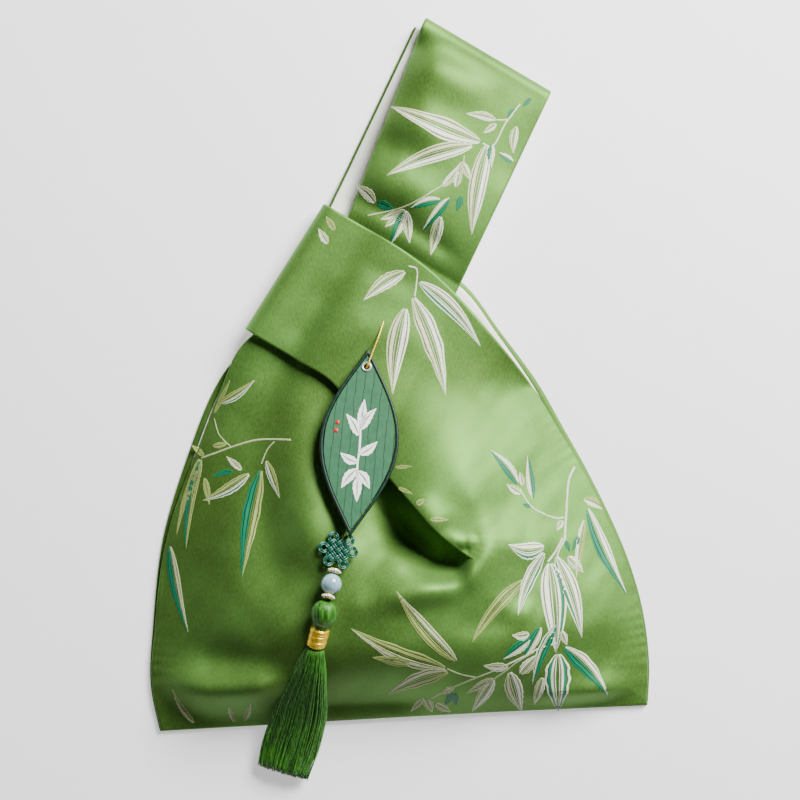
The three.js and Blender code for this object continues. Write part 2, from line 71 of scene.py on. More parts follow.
BACK_Z = 0.5
SEAM_Z = 2.0
BODY_RISE = 30
TOP_RISE = 14
TOP_ROUNDNESS = 0.6
RISE_STARTS_Y = -60
RISE_ENDS_Y = 50
STRAP_BOW = 3.4
STRAP_EDGE_Z = 9
STRAP_BACK_Z = 3.2
LOOP_ABOVE_STRAP = 4.2
LOOP_FADE_START = 60
LOOP_FADE_LENGTH = 70
VALLEY = 50
BACK_STEP = 5
BACK_STEP_RUN = 14
CREASE_OPENS_OVER = 10

STRAP_DIRECTION = np.array([0.428, 0.904]) / math.hypot(0.428, 0.904)
FRONT_EDGES = [(-29, 90.4), (28.7, 56)]
BACK_EDGES = [(-35.2, 93.2), (24.5, 58.5)]
BACK_TOP = [(7.2, 182.5), (65.0, 148.6)]
HANDLE_RUN = 99.5
HANDLE_TOP_Z = 10.5
HANDLE_BACK_Z = 0.8
HANDLE_LOFT = 7
HANDLE_CREST = 0.35
STRAP_LEVEL_FROM = 55
STRAP_FREE_OVER = 12
STRAP_BACK_DROPS_FROM = 4
STRAP_BACK_DROPS_OVER = 25
EDGE_SAG = 5.5
EDGE_SAG_REACH = 0.22
NECK_DEPTH = 30

LEFT_SIDE = [
    (-116.8, -161.4), (-121, -139.6), (-120, -115), (-113.7, -67), (-96.8, -18.8),
    (-85.5, 9), (-77, 26), (-58.5, 42), (-43, 62),
]
RIGHT_SIDE = [
    (120.3, -148.5), (120.8, -128), (117.6, -104), (111, -81), (102, -59), (89.8, -35),
    (78, -15), (64, 7), (45, 30.5), (23.5, 54.5), (2, 71.8),
]
LEFT_SIDE_BACK = [
    (-117.4, -161.9), (-121.8, -139.6), (-121, -115), (-115.6, -67), (-100.3, -18),
    (-88.3, 9.5), (-75.5, 25), (-58.5, 40.5), (-45.2, 63.5),
]
RIGHT_SIDE_BACK = [
    (121, -149.2), (121.7, -128), (118.7, -103.6), (112.2, -80.4), (103.2, -58.6), (91.2, -34.4),
    (79.8, -14), (66.6, 9), (48.6, 33.4), (30, 57.4), (2.6, 72.4),
]
LEFT_TUCK = [3, 3, 3, 3, 3, 3, 3, 2, 2]
RIGHT_TUCK = [3, 3, 3, 3, 3, 3, 3, 2.6, 1.9, 2.2, 2.5]
CREASE_END = (35, -76)
NECKLINE = [CREASE_END, (34, -55), (29.5, -30), (24, -8), (18.5, 11), (13, 29)]
LOOP_EDGE = [
    CREASE_END, (25, -69), (15, -60), (4, -47.5), (-7, -34.5), (-17, -15.5), (-31.6, 7.7), (-50.5, 20),
]
CENTRE = [(36, -153), (36, -128), (35.5, -100), CREASE_END]
FOLD_LINE = [(-74.1, 34.3), (-36.5, 94.7)]
LEFT_CREASE_AT = 2.85
RIGHT_CREASE_AT = 3.2


def world(points):
    """Drawing millimetres to the shared frame's metres."""
    return (np.asarray(points, float) + FRAME_SHIFT) / 1000


# ---- Camera ----

CAMERA_HEIGHT = 1.2
VIEW_WIDTH = 0.3864
BODY_MIDDLE_Z = 0.018
SENSOR = 36

camera_data = bpy.data.cameras.new("camera")
camera_data.sensor_width = SENSOR
camera_data.lens = SENSOR * (CAMERA_HEIGHT - BODY_MIDDLE_Z) / VIEW_WIDTH
camera = bpy.data.objects.new("camera", camera_data)
camera.location = (FRAME_SHIFT[0] / 1000, FRAME_SHIFT[1] / 1000, CAMERA_HEIGHT)
bpy.context.scene.collection.objects.link(camera)
bpy.context.scene.camera = camera

# ---- Plan geometry ----

FOLD_ALONG = np.subtract(FOLD_LINE[0], FOLD_LINE[1]) / math.dist(*FOLD_LINE)
FOLD_INWARD = np.array([-FOLD_ALONG[1], FOLD_ALONG[0]])
STRAP_ACROSS = np.array([STRAP_DIRECTION[1], -STRAP_DIRECTION[0]])
SEAM = LEFT_SIDE[6::-1] + RIGHT_SIDE[:8]
CREASE = LOOP_EDGE + [FOLD_LINE[0]]
PILLOW_SIDES = [(LEFT_SIDE[:7], 85), (RIGHT_SIDE[:8], 85), ([LEFT_SIDE[0], RIGHT_SIDE[0]], 42)]


def smooth(t):
    t = np.clip(t, 0, 1)
    return t * t * (3 - 2 * t)


def lerp(a, b, t):
    return a + (b - a) * t


def nearest(line, x, y):
    """The distance from each point to a polyline, and how far along it the nearest place is."""
    best = np.full(np.shape(x), np.inf)
    where = np.zeros(np.shape(x))
    for i, ((ax, ay), (bx, by)) in enumerate(zip(line[:-1], line[1:])):
        dx, dy = bx - ax, by - ay
        along = np.clip(((x - ax) * dx + (y - ay) * dy) / (dx * dx + dy * dy), 0, 1)
        away = np.hypot(x - ax - along * dx, y - ay - along * dy)
        where = np.where(away < best, (i + along) / (len(line) - 1), where)
        best = np.minimum(best, away)
    return best, where


def spline(points, at):
    """A smooth curve through points, where at runs from 0 to 1."""
    p = np.asarray(points, float)
    place = np.clip(np.asarray(at, float), 0, 1) * (len(p) - 1)
    i = np.minimum(place.astype(int), len(p) - 2)
    t = (place - i)[:, None]
    p0 = p[np.maximum(i - 1, 0)]
    p1, p2 = p[i], p[i + 1]
    p3 = p[np.minimum(i + 2, len(p) - 1)]
    v0, v1 = (p2 - p0) / 2, (p3 - p1) / 2
    return (2 * p1 - 2 * p2 + v0 + v1) * t**3 + (-3 * p1 + 3 * p2 - 2 * v0 - v1) * t**2 + v0 * t + p1


def across_strap(x, y):
    left, right = [np.dot(edge, STRAP_ACROSS) for edge in FRONT_EDGES]
    return (2 * (x * STRAP_ACROSS[0] + y * STRAP_ACROSS[1]) - left - right) / (right - left)


def from_fold(x, y):
    return (x - FOLD_LINE[0][0]) * FOLD_INWARD[0] + (y - FOLD_LINE[0][1]) * FOLD_INWARD[1]


def under_loop(x, y):
    """Whether a point lies on the loop's side of the crease."""
    crease = np.array(CREASE[::-1], float)
    inside = (x > crease[0, 0]) & (y > np.interp(x, crease[:, 0], crease[:, 1]))
    return inside | (x > CREASE_END[0])


# ---- Folds of the cloth: a ridge or a valley along a line, in millimetres ----

FRONT_FOLDS = [
    ([(38.4, -56), (42, -65), (40, -76), (32, -84), (16, -89.5), (-2, -94), (-18, -97)], 5, 7),
    ([(-24, 24), (2, -8), (24, -38), (38, -58)], 4, 24),
    ([(-60, 20), (-26, -30), (4, -84), (34, -134)], 4, 50),
    ([(-62, 12), (-65, -36), (-61, -78), (-54, -100)], -6, 14),
    ([(44, -60), (58, -71), (78, -70)], 3, 9),
    ([(20, -104), (40, -108), (52, -100), (60, -84)], -2.4, 10),
    ([(44, -96), (56, -102), (66, -104)], 2.2, 7),
    ([(-40, 22), (-18, 34), (2, 32), (24, 16)], 1.3, 9),
    ([(-30, 62), (-44, 40), (-56, 24)], -1.3, 7),
    ([(-22, 66), (-4, 60), (14, 52)], -0.9, 6),
    ([(40, 10), (58, -14), (74, -42)], 1.2, 12),
    ([(50, -30), (62, -60), (70, -95)], -0.9, 14),
    ([(95, -70), (98, -105), (100, -140)], 1.4, 12),
    ([(24, -20), (34, -40), (42, -54)], 1.6, 9),
    ([(62, -148), (88, -143), (116, -139)], 5, 8),
    ([(56, -120), (84, -122), (114, -116)], -3, 11),
    ([(-4, -60), (-24, -78), (-44, -92), (-62, -98)], -3.2, 13),
    ([(-44, -80), (-56, -98), (-68, -116)], 1.9, 9),
    ([(-8, -96), (-34, -106), (-52, -120)], 1.8, 10),
    ([(-117, -138), (-92, -141), (-70, -140), (-50, -136)], 8, 8.5),
    ([(-114, -121), (-90, -124), (-64, -125), (-44, -124)], -3, 9),
    ([(-52, -148), (-20, -150), (20, -150)], -5, 14),
    ([(-84, 2), (-96, -34), (-106, -74)], 1.0, 8),
    ([(-72, 12), (-80, -20), (-92, -60), (-96, -96)], -0.9, 9),
    ([(-30, -18), (-26, -44), (-12, -58)], -1.6, 10),
    ([(-104, -98), (-88, -118), (-66, -128)], -1.1, 10),
]
HOLLOW_FOLDS = [
    ([(-16, -40), (-4, -57), (6, -69), (17, -76.5), (29, -77.5), (40, -77)], -15, 8.5),
    ([(-6, -34), (6, -48), (18, -62), (30, -74)], -2, 6),
    ([(-24, -50), (-12, -68), (2, -80)], -4, 11),
]
LIP_FOLDS = [
    ([(5, -46), (13, -55), (21, -63)], 2.6, 7),
    ([(20, -64), (31, -69), (38, -66)], 1.3, 3),
    ([(26, -72), (34, -70)], -1.4, 2.6),
]
FOLD_END_SHARE = 0.2
FOLDS_START_OVER = 10
HOLLOW_ENDS_OVER = 8
RIPPLES = [(0.4, 21, 0), (0.14, 8, 40)]
RIPPLE_STARTS_OVER = 20
STRAP_RIPPLE = (0.3, 17)
PUCKER_HEIGHT = 0.14
PUCKER_REACH = 8
SEAM_GATHERS = 330
FOLD_WAVES = [(9, 1.3, 7), (25, -1.5, 7), (37, 0.9, 8)]
NECK_FOLDS = [
    ([(-26, 98), (-4, 90), (18, 74), (32, 62)], -2.6, 7),
    ([(34, 70), (46, 92), (54, 112)], 1.0, 9),
    ([(-22, 108), (2, 104), (22, 92)], 1.8, 8),
    ([(-14, 124), (2, 122), (16, 114)], -1.7, 8),
    ([(-4, 146), (14, 144), (30, 134)], -1.5, 9),
    ([(6, 164), (24, 158), (48, 140)], 1.3, 8),
    ([(28, 168), (44, 160), (60, 148)], 0.9, 7),
    ([(2, 116), (12, 146), (27, 176)], 5, 17),
]


def folds(lines, x, y):
    total = np.zeros(np.shape(x))
    for line, height, width in lines:
        if len(line) > 4:
            line = spline(line, np.linspace(0, 1, 3 * len(line)))
        away, where = nearest(line, x, y)
        ends = lerp(FOLD_END_SHARE, 1, smooth(3 * np.minimum(where, 1 - where)))
        total += height * ends * np.exp(-((away / width) ** 2))
    return total


def ripple(x, y, size):
    """A gentle unevenness that never repeats within the bag."""
    a, b = x / size, y / size
    return (
        np.sin(2.1 * a + 1.3 * np.sin(1.1 * b + 0.6)) * np.sin(1.7 * b + 0.9 * np.sin(1.3 * a))
        + 0.5 * np.sin(3.7 * a - 2.9 * b + 1.1)
    )


def seam_pucker(x, y):
    """The sewn side pulls the cloth into short shallow gathers."""
    away, where = nearest(SEAM, x, y)
    gathers = np.sin(where * SEAM_GATHERS + 4 * np.sin(where * 41)) * (0.6 + 0.4 * np.sin(where * 23))
    return PUCKER_HEIGHT * np.exp(-away / PUCKER_REACH) * gathers


# ---- Heights of the cloth layers' middle surfaces ----


def pillow_height(x, y):
    upward = smooth((y - RISE_STARTS_Y) / (RISE_ENDS_Y - RISE_STARTS_Y))
    shape = lerp(BODY_RISE, TOP_RISE, upward)
    for line, reach in PILLOW_SIDES:
        inward = nearest(line, x, y)[0] / (reach * lerp(1, TOP_ROUNDNESS, upward))
        shape = shape * np.sin(np.minimum(inward, 1) * np.pi / 2)
    soft = sum(height * ripple(x + shift, y, size) for height, size, shift in RIPPLES)
    from_seam = nearest(SEAM, x, y)[0]
    return SEAM_Z + shape + soft * smooth(from_seam / RIPPLE_STARTS_OVER) + seam_pucker(x, y)


def strap_bow(x, y):
    across = across_strap(x, y)
    return STRAP_BOW * np.maximum(0, 1 - across * across)


def right_height(x, y):
    inward = from_fold(x, y)
    loop = STRAP_EDGE_Z + LOOP_ABOVE_STRAP + strap_bow(x, y)
    for place, height, width in FOLD_WAVES:
        loop = loop + height * np.exp(-(((inward - place) / width) ** 2))
    base = lerp(loop, pillow_height(x, y), smooth((inward - LOOP_FADE_START) / LOOP_FADE_LENGTH))
    return base + front_folds(x, y)


def front_folds(x, y):
    return smooth(nearest(SEAM, x, y)[0] / FOLDS_START_OVER) * folds(FRONT_FOLDS, x, y)


def loop_height(x, y):
    return right_height(x, y) + folds(LIP_FOLDS, x, y)


def left_height(x, y):
    gap = LOOP_ABOVE_STRAP * smooth((y - CREASE_END[1]) / CREASE_OPENS_OVER)
    away = np.where(under_loop(x, y), 0, nearest(CREASE, x, y)[0])
    own = pillow_height(x, y) + front_folds(x, y)
    hollow = folds(HOLLOW_FOLDS, x, y) * smooth((CREASE_END[0] - x) / HOLLOW_ENDS_OVER)
    return lerp(right_height(x, y) - gap, own, smooth(away / VALLEY)) + hollow


def left_back_height(x, y):
    away = np.where(under_loop(x, y), 0, nearest(CREASE, x, y)[0])
    opened = smooth((y - CREASE_END[1]) / CREASE_OPENS_OVER)
    return BACK_Z + (STRAP_BACK_Z - BACK_Z) * (1 - smooth((away - BACK_STEP) / BACK_STEP_RUN)) * opened


def right_back_height(x, y):
    return np.full(np.shape(x), BACK_Z)


def run_of(x, y):
    """How far along the long handle a point lies, from where it leaves the loop."""
    left, right = [np.dot(edge, STRAP_DIRECTION) for edge in FRONT_EDGES]
    start = lerp(left, right, (across_strap(x, y) + 1) / 2)
    return x * STRAP_DIRECTION[0] + y * STRAP_DIRECTION[1] - start


def strap_height(x, y):
    """The upper layer of the long handle, from inside the loop to its top fold."""
    run = run_of(x, y)
    flat = smooth((run - STRAP_LEVEL_FROM) / (HANDLE_RUN - STRAP_LEVEL_FROM))
    share = np.clip(run / HANDLE_RUN, 0, 1)
    loft = HANDLE_LOFT * share / HANDLE_CREST * np.exp(1 - share / HANDLE_CREST) * (1 - share**3)
    free = smooth((run - 1) / STRAP_FREE_OVER) * smooth((HANDLE_RUN - run) / STRAP_FREE_OVER)
    soft = STRAP_RIPPLE[0] * ripple(x, y, STRAP_RIPPLE[1]) + folds(NECK_FOLDS, x, y)
    sagging = free * EDGE_SAG * np.exp(-(1 + across_strap(x, y)) / EDGE_SAG_REACH)
    return lerp(STRAP_EDGE_Z + strap_bow(x, y), HANDLE_TOP_Z, flat) + loft + free * soft - sagging


# ---- Meshes ----


def vertex_normals(points, quads):
    a, b, c, d = [points[quads[:, k]] for k in range(4)]
    normal = np.cross(c - a, d - b)
    total = np.zeros_like(points)
    for k in range(4):
        np.add.at(total, quads[:, k], normal)
    return total / np.maximum(np.linalg.norm(total, axis=1, keepdims=True), 1e-12)


def shell(points, quads, thickness, offset=0.0):
    """A closed layer of cloth round a surface, with a rounded hem."""
    normal = vertex_normals(points, quads)
    middle = points + normal * offset
    edges = np.concatenate([quads[:, [k, (k + 1) % 4]] for k in range(4)])
    known = {tuple(e) for e in edges}
    rim = np.array([e for e in edges if (e[1], e[0]) not in known])
    outward = np.zeros_like(points)
    away = np.cross(middle[rim[:, 1]] - middle[rim[:, 0]], normal[rim[:, 0]])
    np.add.at(outward, rim[:, 0], away)
    np.add.at(outward, rim[:, 1], away)
    on_rim = np.unique(rim)
    length = np.maximum(np.linalg.norm(outward[on_rim], axis=1, keepdims=True), 1e-12)
    hem = middle[on_rim] + outward[on_rim] / length * thickness / 2
    count = len(points)
    number = np.zeros(count, int)
    number[on_rim] = 2 * count + np.arange(len(on_rim))
    a, b = rim[:, 0], rim[:, 1]
    faces = np.concatenate([
        quads,
        quads[:, ::-1] + count,
        np.stack([b, a, number[a], number[b]], axis=1),
        np.stack([number[b], number[a], a + count, b + count], axis=1),
    ])
    top = middle + normal * thickness / 2
    bottom = middle - normal * thickness / 2
    source = np.concatenate([np.arange(count), np.arange(count), on_rim])
    return np.concatenate([top, bottom, hem]), faces, source


def grid_quads(rows, columns, closed=False):
    across = columns if closed else columns - 1
    j, i = np.meshgrid(np.arange(rows - 1), np.arange(across), indexing="ij")
    right = (i + 1) % columns
    quads = [j * columns + i, j * columns + right, (j + 1) * columns + right, (j + 1) * columns + i]
    return np.stack(quads, axis=-1).reshape(-1, 4)


def joined(*parts):
    """Several (points, quads) as one."""
    points, quads, start = [], [], 0
    for p, q in parts:
        points.append(p)
        quads.append(q + start)
        start += len(p)
    return np.concatenate(points), np.concatenate(quads)


def welded(points, quads, grain=0.01):
    """The same surface with the points that lie on each other made one."""
    keys = np.round(points / grain).astype(np.int64)
    first, inverse = np.unique(keys, axis=0, return_index=True, return_inverse=True)[1:]
    return points[first], inverse.reshape(-1)[quads]


def piece(name, points, faces, materials, body, slots=None, uvs=None):
    """A mesh object from millimetre points, riding on a body when one is named."""
    mesh = bpy.data.meshes.new(name)
    mesh.from_pydata(world(points).tolist(), [], faces)
    for material in materials:
        mesh.materials.append(material)
    if slots is not None:
        mesh.polygons.foreach_set("material_index", np.asarray(slots, np.int32))
    if uvs is not None:
        corners = np.zeros(len(mesh.loops), np.int32)
        mesh.loops.foreach_get("vertex_index", corners)
        layer = mesh.uv_layers.new(name="threads")
        layer.data.foreach_set("uv", np.asarray(uvs, np.float32)[corners].reshape(-1))
    mesh.polygons.foreach_set("use_smooth", np.ones(len(mesh.polygons), bool))
    mesh.update()
    obj = bpy.data.objects.new(name, mesh)
    bpy.context.scene.collection.objects.link(obj)
    if body:
        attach(obj, body)
    return obj


def panel(left, right, height, columns):
    """Rows of points between two sampled outlines, lifted to a height."""
    u = np.linspace(0, 1, columns)[None, :, None]
    plan = lerp(left[:, None, :], right[:, None, :], u)
    x, y = plan[..., 0], plan[..., 1]
    return np.stack([x, y, height(x, y)], axis=-1)


def fold_under(grid, outward, lower_z, steps):
    """The grid with its last row carried round a half turn, out and down to a lower layer."""
    last = grid[-1]
    radius = (last[:, 2] - lower_z) / 2
    rows = [grid]
    for angle in np.linspace(0, np.pi, steps + 1)[1:]:
        row = last.copy()
        row[:, :2] += np.outer(radius * np.sin(angle), outward)
        row[:, 2] -= radius * (1 - np.cos(angle))
        rows.append(row[None])
    return np.concatenate(rows)


def tucked(outline, distances):
    """An outline drawn in towards the middle of the body, by a distance at each point."""
    towards = np.subtract((0, -50), outline)
    towards /= np.linalg.norm(towards, axis=1, keepdims=True)
    return [tuple(p) for p in np.array(outline) + towards * np.array(distances)[:, None]]


def body_layer(left_side, right_side, heights, columns, rows, fold_in, folded):
    """One cloth layer of the body: whole below the crease, and parted above it."""
    left_of, right_of = heights
    low, high = rows
    split_left = LEFT_CREASE_AT / (len(left_side) - 1)
    split_right = RIGHT_CREASE_AT / (len(right_side) - 1)
    start, end = [np.add(corner, FOLD_INWARD * fold_in) for corner in FOLD_LINE]
    lower, upper = np.linspace(0, 1, low), np.linspace(0, 1, high)
    centre = spline(CENTRE, lower)
    parts = []
    for grid in (
        panel(spline(left_side, lower * split_left), centre, left_of, columns),
        panel(centre, spline(right_side, lower * split_right), left_of, columns),
        panel(spline(left_side, lerp(split_left, 1, upper)), spline(NECKLINE, upper), left_of, columns),
    ):
        parts.append((grid.reshape(-1, 3), grid_quads(*grid.shape[:2])))
    loop = panel(
        spline([*LOOP_EDGE, tuple(start)], upper),
        spline([*right_side, tuple(end)], lerp(RIGHT_CREASE_AT / len(right_side), 1, upper)),
        right_of, columns,
    )
    if folded:
        loop = fold_under(loop, -FOLD_INWARD, BACK_Z, FOLD_STEPS)
    parts.append((loop.reshape(-1, 3), grid_quads(*loop.shape[:2])))
    return welded(*joined(*parts))


# ---- Materials ----


class Look:
    """A procedural material: a principled shader and short ways to add the nodes that feed it."""

    def __init__(self, name, roughness=0.5, metallic=0.0, **settings):
        self.material = bpy.data.materials.new(name)
        self.material.use_nodes = True
        self.tree = self.material.node_tree
        self.shader = self.tree.nodes["Principled BSDF"]
        self.set(self.shader, {"Roughness": roughness, "Metallic": metallic, **settings})

    def set(self, node, values):
        for key, value in values.items():
            if hasattr(value, "is_output"):
                self.tree.links.new(value, node.inputs[key])
            else:
                node.inputs[key].default_value = value

    def node(self, kind, output=0, inputs=None, **attributes):
        made = self.tree.nodes.new(kind)
        for key, value in attributes.items():
            setattr(made, key, value)
        self.set(made, inputs or {})
        return made.outputs[output]

    def place(self, kind="Object"):
        return self.node("ShaderNodeTexCoord", kind)

    def math(self, operation, a, b=0.0):
        return self.node("ShaderNodeMath", inputs={0: a, 1: b}, operation=operation)

    def noise(self, scale, detail=3, vector=None, stretch=None):
        vector = vector or self.place()
        if stretch:
            vector = self.node("ShaderNodeMapping", inputs={"Vector": vector, "Scale": stretch})
        inputs = {"Vector": vector, "Scale": scale, "Detail": detail}
        return self.node("ShaderNodeTexNoise", "Fac", inputs)

    def wave(self, scale, vector, distortion=0.0, turn=0.0, detail_scale=1.0):
        turned = self.node("ShaderNodeMapping", inputs={"Vector": vector, "Rotation": (0, 0, turn)})
        inputs = {"Vector": turned, "Scale": scale, "Distortion": distortion, "Detail Scale": detail_scale}
        return self.node("ShaderNodeTexWave", "Fac", inputs)

    def ramp(self, factor, *stops):
        made = self.tree.nodes.new("ShaderNodeValToRGB")
        elements = made.color_ramp.elements
        while len(elements) < len(stops):
            elements.new(0.5)
        for element, (at, color) in zip(elements, stops):
            element.position = at
            element.color = (*color, 1)
        self.set(made, {"Fac": factor})
        return made.outputs["Color"]

    def mix(self, factor, a, b, blend="MIX"):
        made = self.tree.nodes.new("ShaderNodeMix")
        made.data_type = "RGBA"
        made.blend_type = blend
        self.set(made, {0: factor, 6: a, 7: b})
        return made.outputs[2]

    def color(self, value):
        self.set(self.shader, {"Base Color": value})
        return self

    def roughness(self, value):
        self.set(self.shader, {"Roughness": value})
        return self

    def bump(self, height, strength, distance):
        inputs = {"Height": height, "Strength": strength, "Distance": distance}
        self.set(self.shader, {"Normal": self.node("ShaderNodeBump", inputs=inputs)})
        return self

    def between(self, value, low, high):
        inputs = {"Value": value, "To Min": low, "To Max": high}
        return self.node("ShaderNodeMapRange", inputs=inputs)


THREADS_PER_METRE = 900
LINING_THREADS = 700
WEAVE_TURN = 0.44
CROSS_TURN = 2.01


def satin(name, dark, light):
    """Woven satin: long floating threads, a fine twill line and a slightly uneven dye."""
    look = Look(name, metallic=0.55, **{
        "Sheen Weight": 0.2, "Sheen Roughness": 0.35, "Sheen Tint": (0.6, 1, 0.5, 1),
        "Specular Tint": (0.75, 1, 0.65, 1),
    })
    place = look.place()
    threads = look.wave(THREADS_PER_METRE, place, 1.5, WEAVE_TURN, 2.0)
    grain = look.noise(1500, 2, place, (1, 0.35, 1))
    dye = look.noise(14, 3, place)
    tone = look.math("MULTIPLY", look.math("ADD", look.math("MULTIPLY", grain, 0.4), dye), 0.7)
    look.color(look.ramp(tone, (0.36, dark), (0.66, light)))
    look.roughness(look.between(grain, 0.48, 0.64))
    weave = look.math("ADD", look.math("MULTIPLY", threads, 0.5), grain)
    return look.bump(weave, 0.22, 0.00012).material


def lining(name):
    """A thin matt lining with a plain weave."""
    look = Look(name, roughness=0.7, **{"Sheen Weight": 0.15})
    place = look.place()
    warp, weft = [look.wave(LINING_THREADS, place, 0.6, turn) for turn in (WEAVE_TURN, CROSS_TURN)]
    weave = look.math("MULTIPLY", warp, weft)
    look.color(look.ramp(look.noise(60, 3, place), (0.3, (0.80, 0.80, 0.70)), (0.7, (0.93, 0.93, 0.86))))
    return look.bump(weave, 0.25, 0.0001).material


STRAND_GAP = 0.13


def leaf_threads(name, dark, light, inner=None):
    """Brocade threads in strands side by side, hatched slantwise; u runs across a half leaf."""
    look = Look(name, roughness=0.5, **{"Specular IOR Level": 0.35})
    place = look.place("UV")
    u = look.node("ShaderNodeSeparateXYZ", "X", {"Vector": place})
    slant = look.node("ShaderNodeMapping", inputs={"Vector": place, "Scale": (2.5, 1, 1)})
    hatch = look.wave(1.3, slant, 1.2, 0.8)
    patches = look.noise(0.5, 3, place, (6, 0.3, 1))
    tone = look.math("ADD", look.math("MULTIPLY", hatch, 0.55), look.math("MULTIPLY", patches, 0.7))
    threads = look.ramp(tone, (0.3, dark), (0.55, light), (0.9, light))
    if inner:
        stripe = look.math("LESS_THAN", look.math("ABSOLUTE", look.math("SUBTRACT", u, 0.66)), 0.16)
        threads = look.mix(stripe, threads, (*inner, 1))
    strands = look.math("PINGPONG", look.math("MULTIPLY", u, 2), 0.5)
    gap = look.math("LESS_THAN", look.math("SUBTRACT", 0.5, strands), STRAND_GAP)
    look.color(look.mix(look.math("MULTIPLY", gap, 0.9), threads, (*(0.25 * v for v in dark), 1)))
    height = look.math("SUBTRACT", look.math("MULTIPLY", hatch, 0.4), gap)
    return look.bump(height, 0.3, 0.0001).material


SATIN = satin("green_satin", (0.062, 0.135, 0.018), (0.128, 0.30, 0.056))
# The back and under layers use the same satin made darker: painted shade for the layers that lie underneath.
BACK_SATIN_PAINTED_SHADE = satin("green_satin_back_painted_shade", (0.055, 0.12, 0.016), (0.11, 0.26, 0.046))
CREAM = lining("cream_lining")
LEAF_LOOKS = [
    leaf_threads("leaf_cream", (0.26, 0.36, 0.14), (0.92, 0.95, 0.74)),
    leaf_threads("leaf_teal", (0.0, 0.07, 0.03), (0.0, 0.22, 0.10)),
    # An olive-darkened cream: painted shade for cream threads lying in shadow.
    leaf_threads("leaf_olive_painted_shade", (0.035, 0.08, 0.008), (0.42, 0.52, 0.15)),
    # A darker copy of the cream: painted shade for threads in shadow and for the second half of each cream
    # leaf.
    leaf_threads("leaf_painted_shade_cream", (0.10, 0.16, 0.04), (0.66, 0.72, 0.40)),
    leaf_threads("leaf_mixed", (0.26, 0.36, 0.14), (0.92, 0.95, 0.74), (0.0, 0.22, 0.10)),
]
# The letters o and d pick the two painted-shade creams; in the leaf and stem tables below they mark threads
# drawn as if in shadow.
LEAF_SLOTS = {"c": 0, "t": 1, "o": 2, "d": 3, "m": 4}

# ---- Bag body ----

FRONT_COLUMNS = 96
FRONT_ROWS = (70, 120)
LINING_COLUMNS = 40
LINING_ROWS = (24, 50)
FOLD_RADIUS = (STRAP_EDGE_Z + LOOP_ABOVE_STRAP - BACK_Z) / 2
BACK_FOLD_IN = FOLD_RADIUS + 0.8


def cloth_piece(name, surface, thickness, offset, material, body, nodes):
    """A layer of cloth that stands for CAD nodes, which it hides."""
    points, quads = surface
    shelled, faces, _ = shell(points, quads, thickness, offset)
    obj = piece(name, shelled, faces.tolist(), [material], body)
    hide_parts(*nodes)
    return obj


front = body_layer(
    LEFT_SIDE, RIGHT_SIDE, (left_height, loop_height), FRONT_COLUMNS, FRONT_ROWS, FOLD_RADIUS, True,
)
back = body_layer(
    LEFT_SIDE_BACK, RIGHT_SIDE_BACK, (left_back_height, right_back_height),
    LINING_COLUMNS, LINING_ROWS, BACK_FOLD_IN, False,
)
cloth_piece(
    "front_cloth", front, CLOTH, 0, SATIN, "bag", ["front_panel"],
)
cloth_piece("back_cloth", back, CLOTH, 0, BACK_SATIN_PAINTED_SHADE, "bag", ["back_panel"])

# ---- Long handle ----

STRAP_COLUMNS = 64
STRAP_ROWS = 130
UNDER_COLUMNS = 24
UNDER_ROWS = 60
UNDER_EDGE = 0.016
LEFT_INSET_FOOT = 4.5
LEFT_INSET_HEAD = -3


def strap_grid(edges, start, end, rows, columns, height):
    left, right = np.array(edges, float)
    run = np.linspace(start, end, rows)[:, None, None]
    u = np.linspace(0, 1, columns)[None, :, None]
    inset = lerp(LEFT_INSET_FOOT, LEFT_INSET_HEAD, np.clip(run / end, 0, 1))
    plan = lerp(left + inset * STRAP_ACROSS, right, u) + run * STRAP_DIRECTION
    x, y = plan[..., 0], plan[..., 1]
    return np.stack([x, y, height(x, y)], axis=-1)


def surface_of(grid):
    return grid.reshape(-1, 3), grid_quads(*grid.shape[:2])


def bend_at_loop(obj):
    """Bakes the object's transform into its mesh."""
    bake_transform(obj)


def handle_back_grid(columns, rows, edge=0.0):
    """The handle's lower layer narrows its angle a little and shows along the left edge."""
    foot = np.array(BACK_EDGES) - STRAP_DIRECTION * NECK_DEPTH
    head = np.array(BACK_TOP)
    length = HANDLE_RUN + NECK_DEPTH
    t = np.linspace(0, 1, rows)[:, None, None]
    u = np.linspace(edge, 1 - edge, columns)[None, :, None]
    middle = lerp(np.array(BACK_EDGES), head, 0.5)
    left = spline([foot[0], middle[0] * 0.5 + foot[0] * 0.5, middle[0], head[0]], t.reshape(-1))
    right = spline([foot[1], middle[1] * 0.5 + foot[1] * 0.5, middle[1], head[1]], t.reshape(-1))
    plan = lerp(left[:, None, :], right[:, None, :], u)
    run = t * length - NECK_DEPTH
    drop = smooth((run - STRAP_BACK_DROPS_FROM) / STRAP_BACK_DROPS_OVER)
    z = STRAP_BACK_Z - (STRAP_BACK_Z - HANDLE_BACK_Z) * drop
    x, y = plan[..., 0], plan[..., 1]
    return np.stack([x, y, np.broadcast_to(z[..., 0], x.shape)], axis=-1)


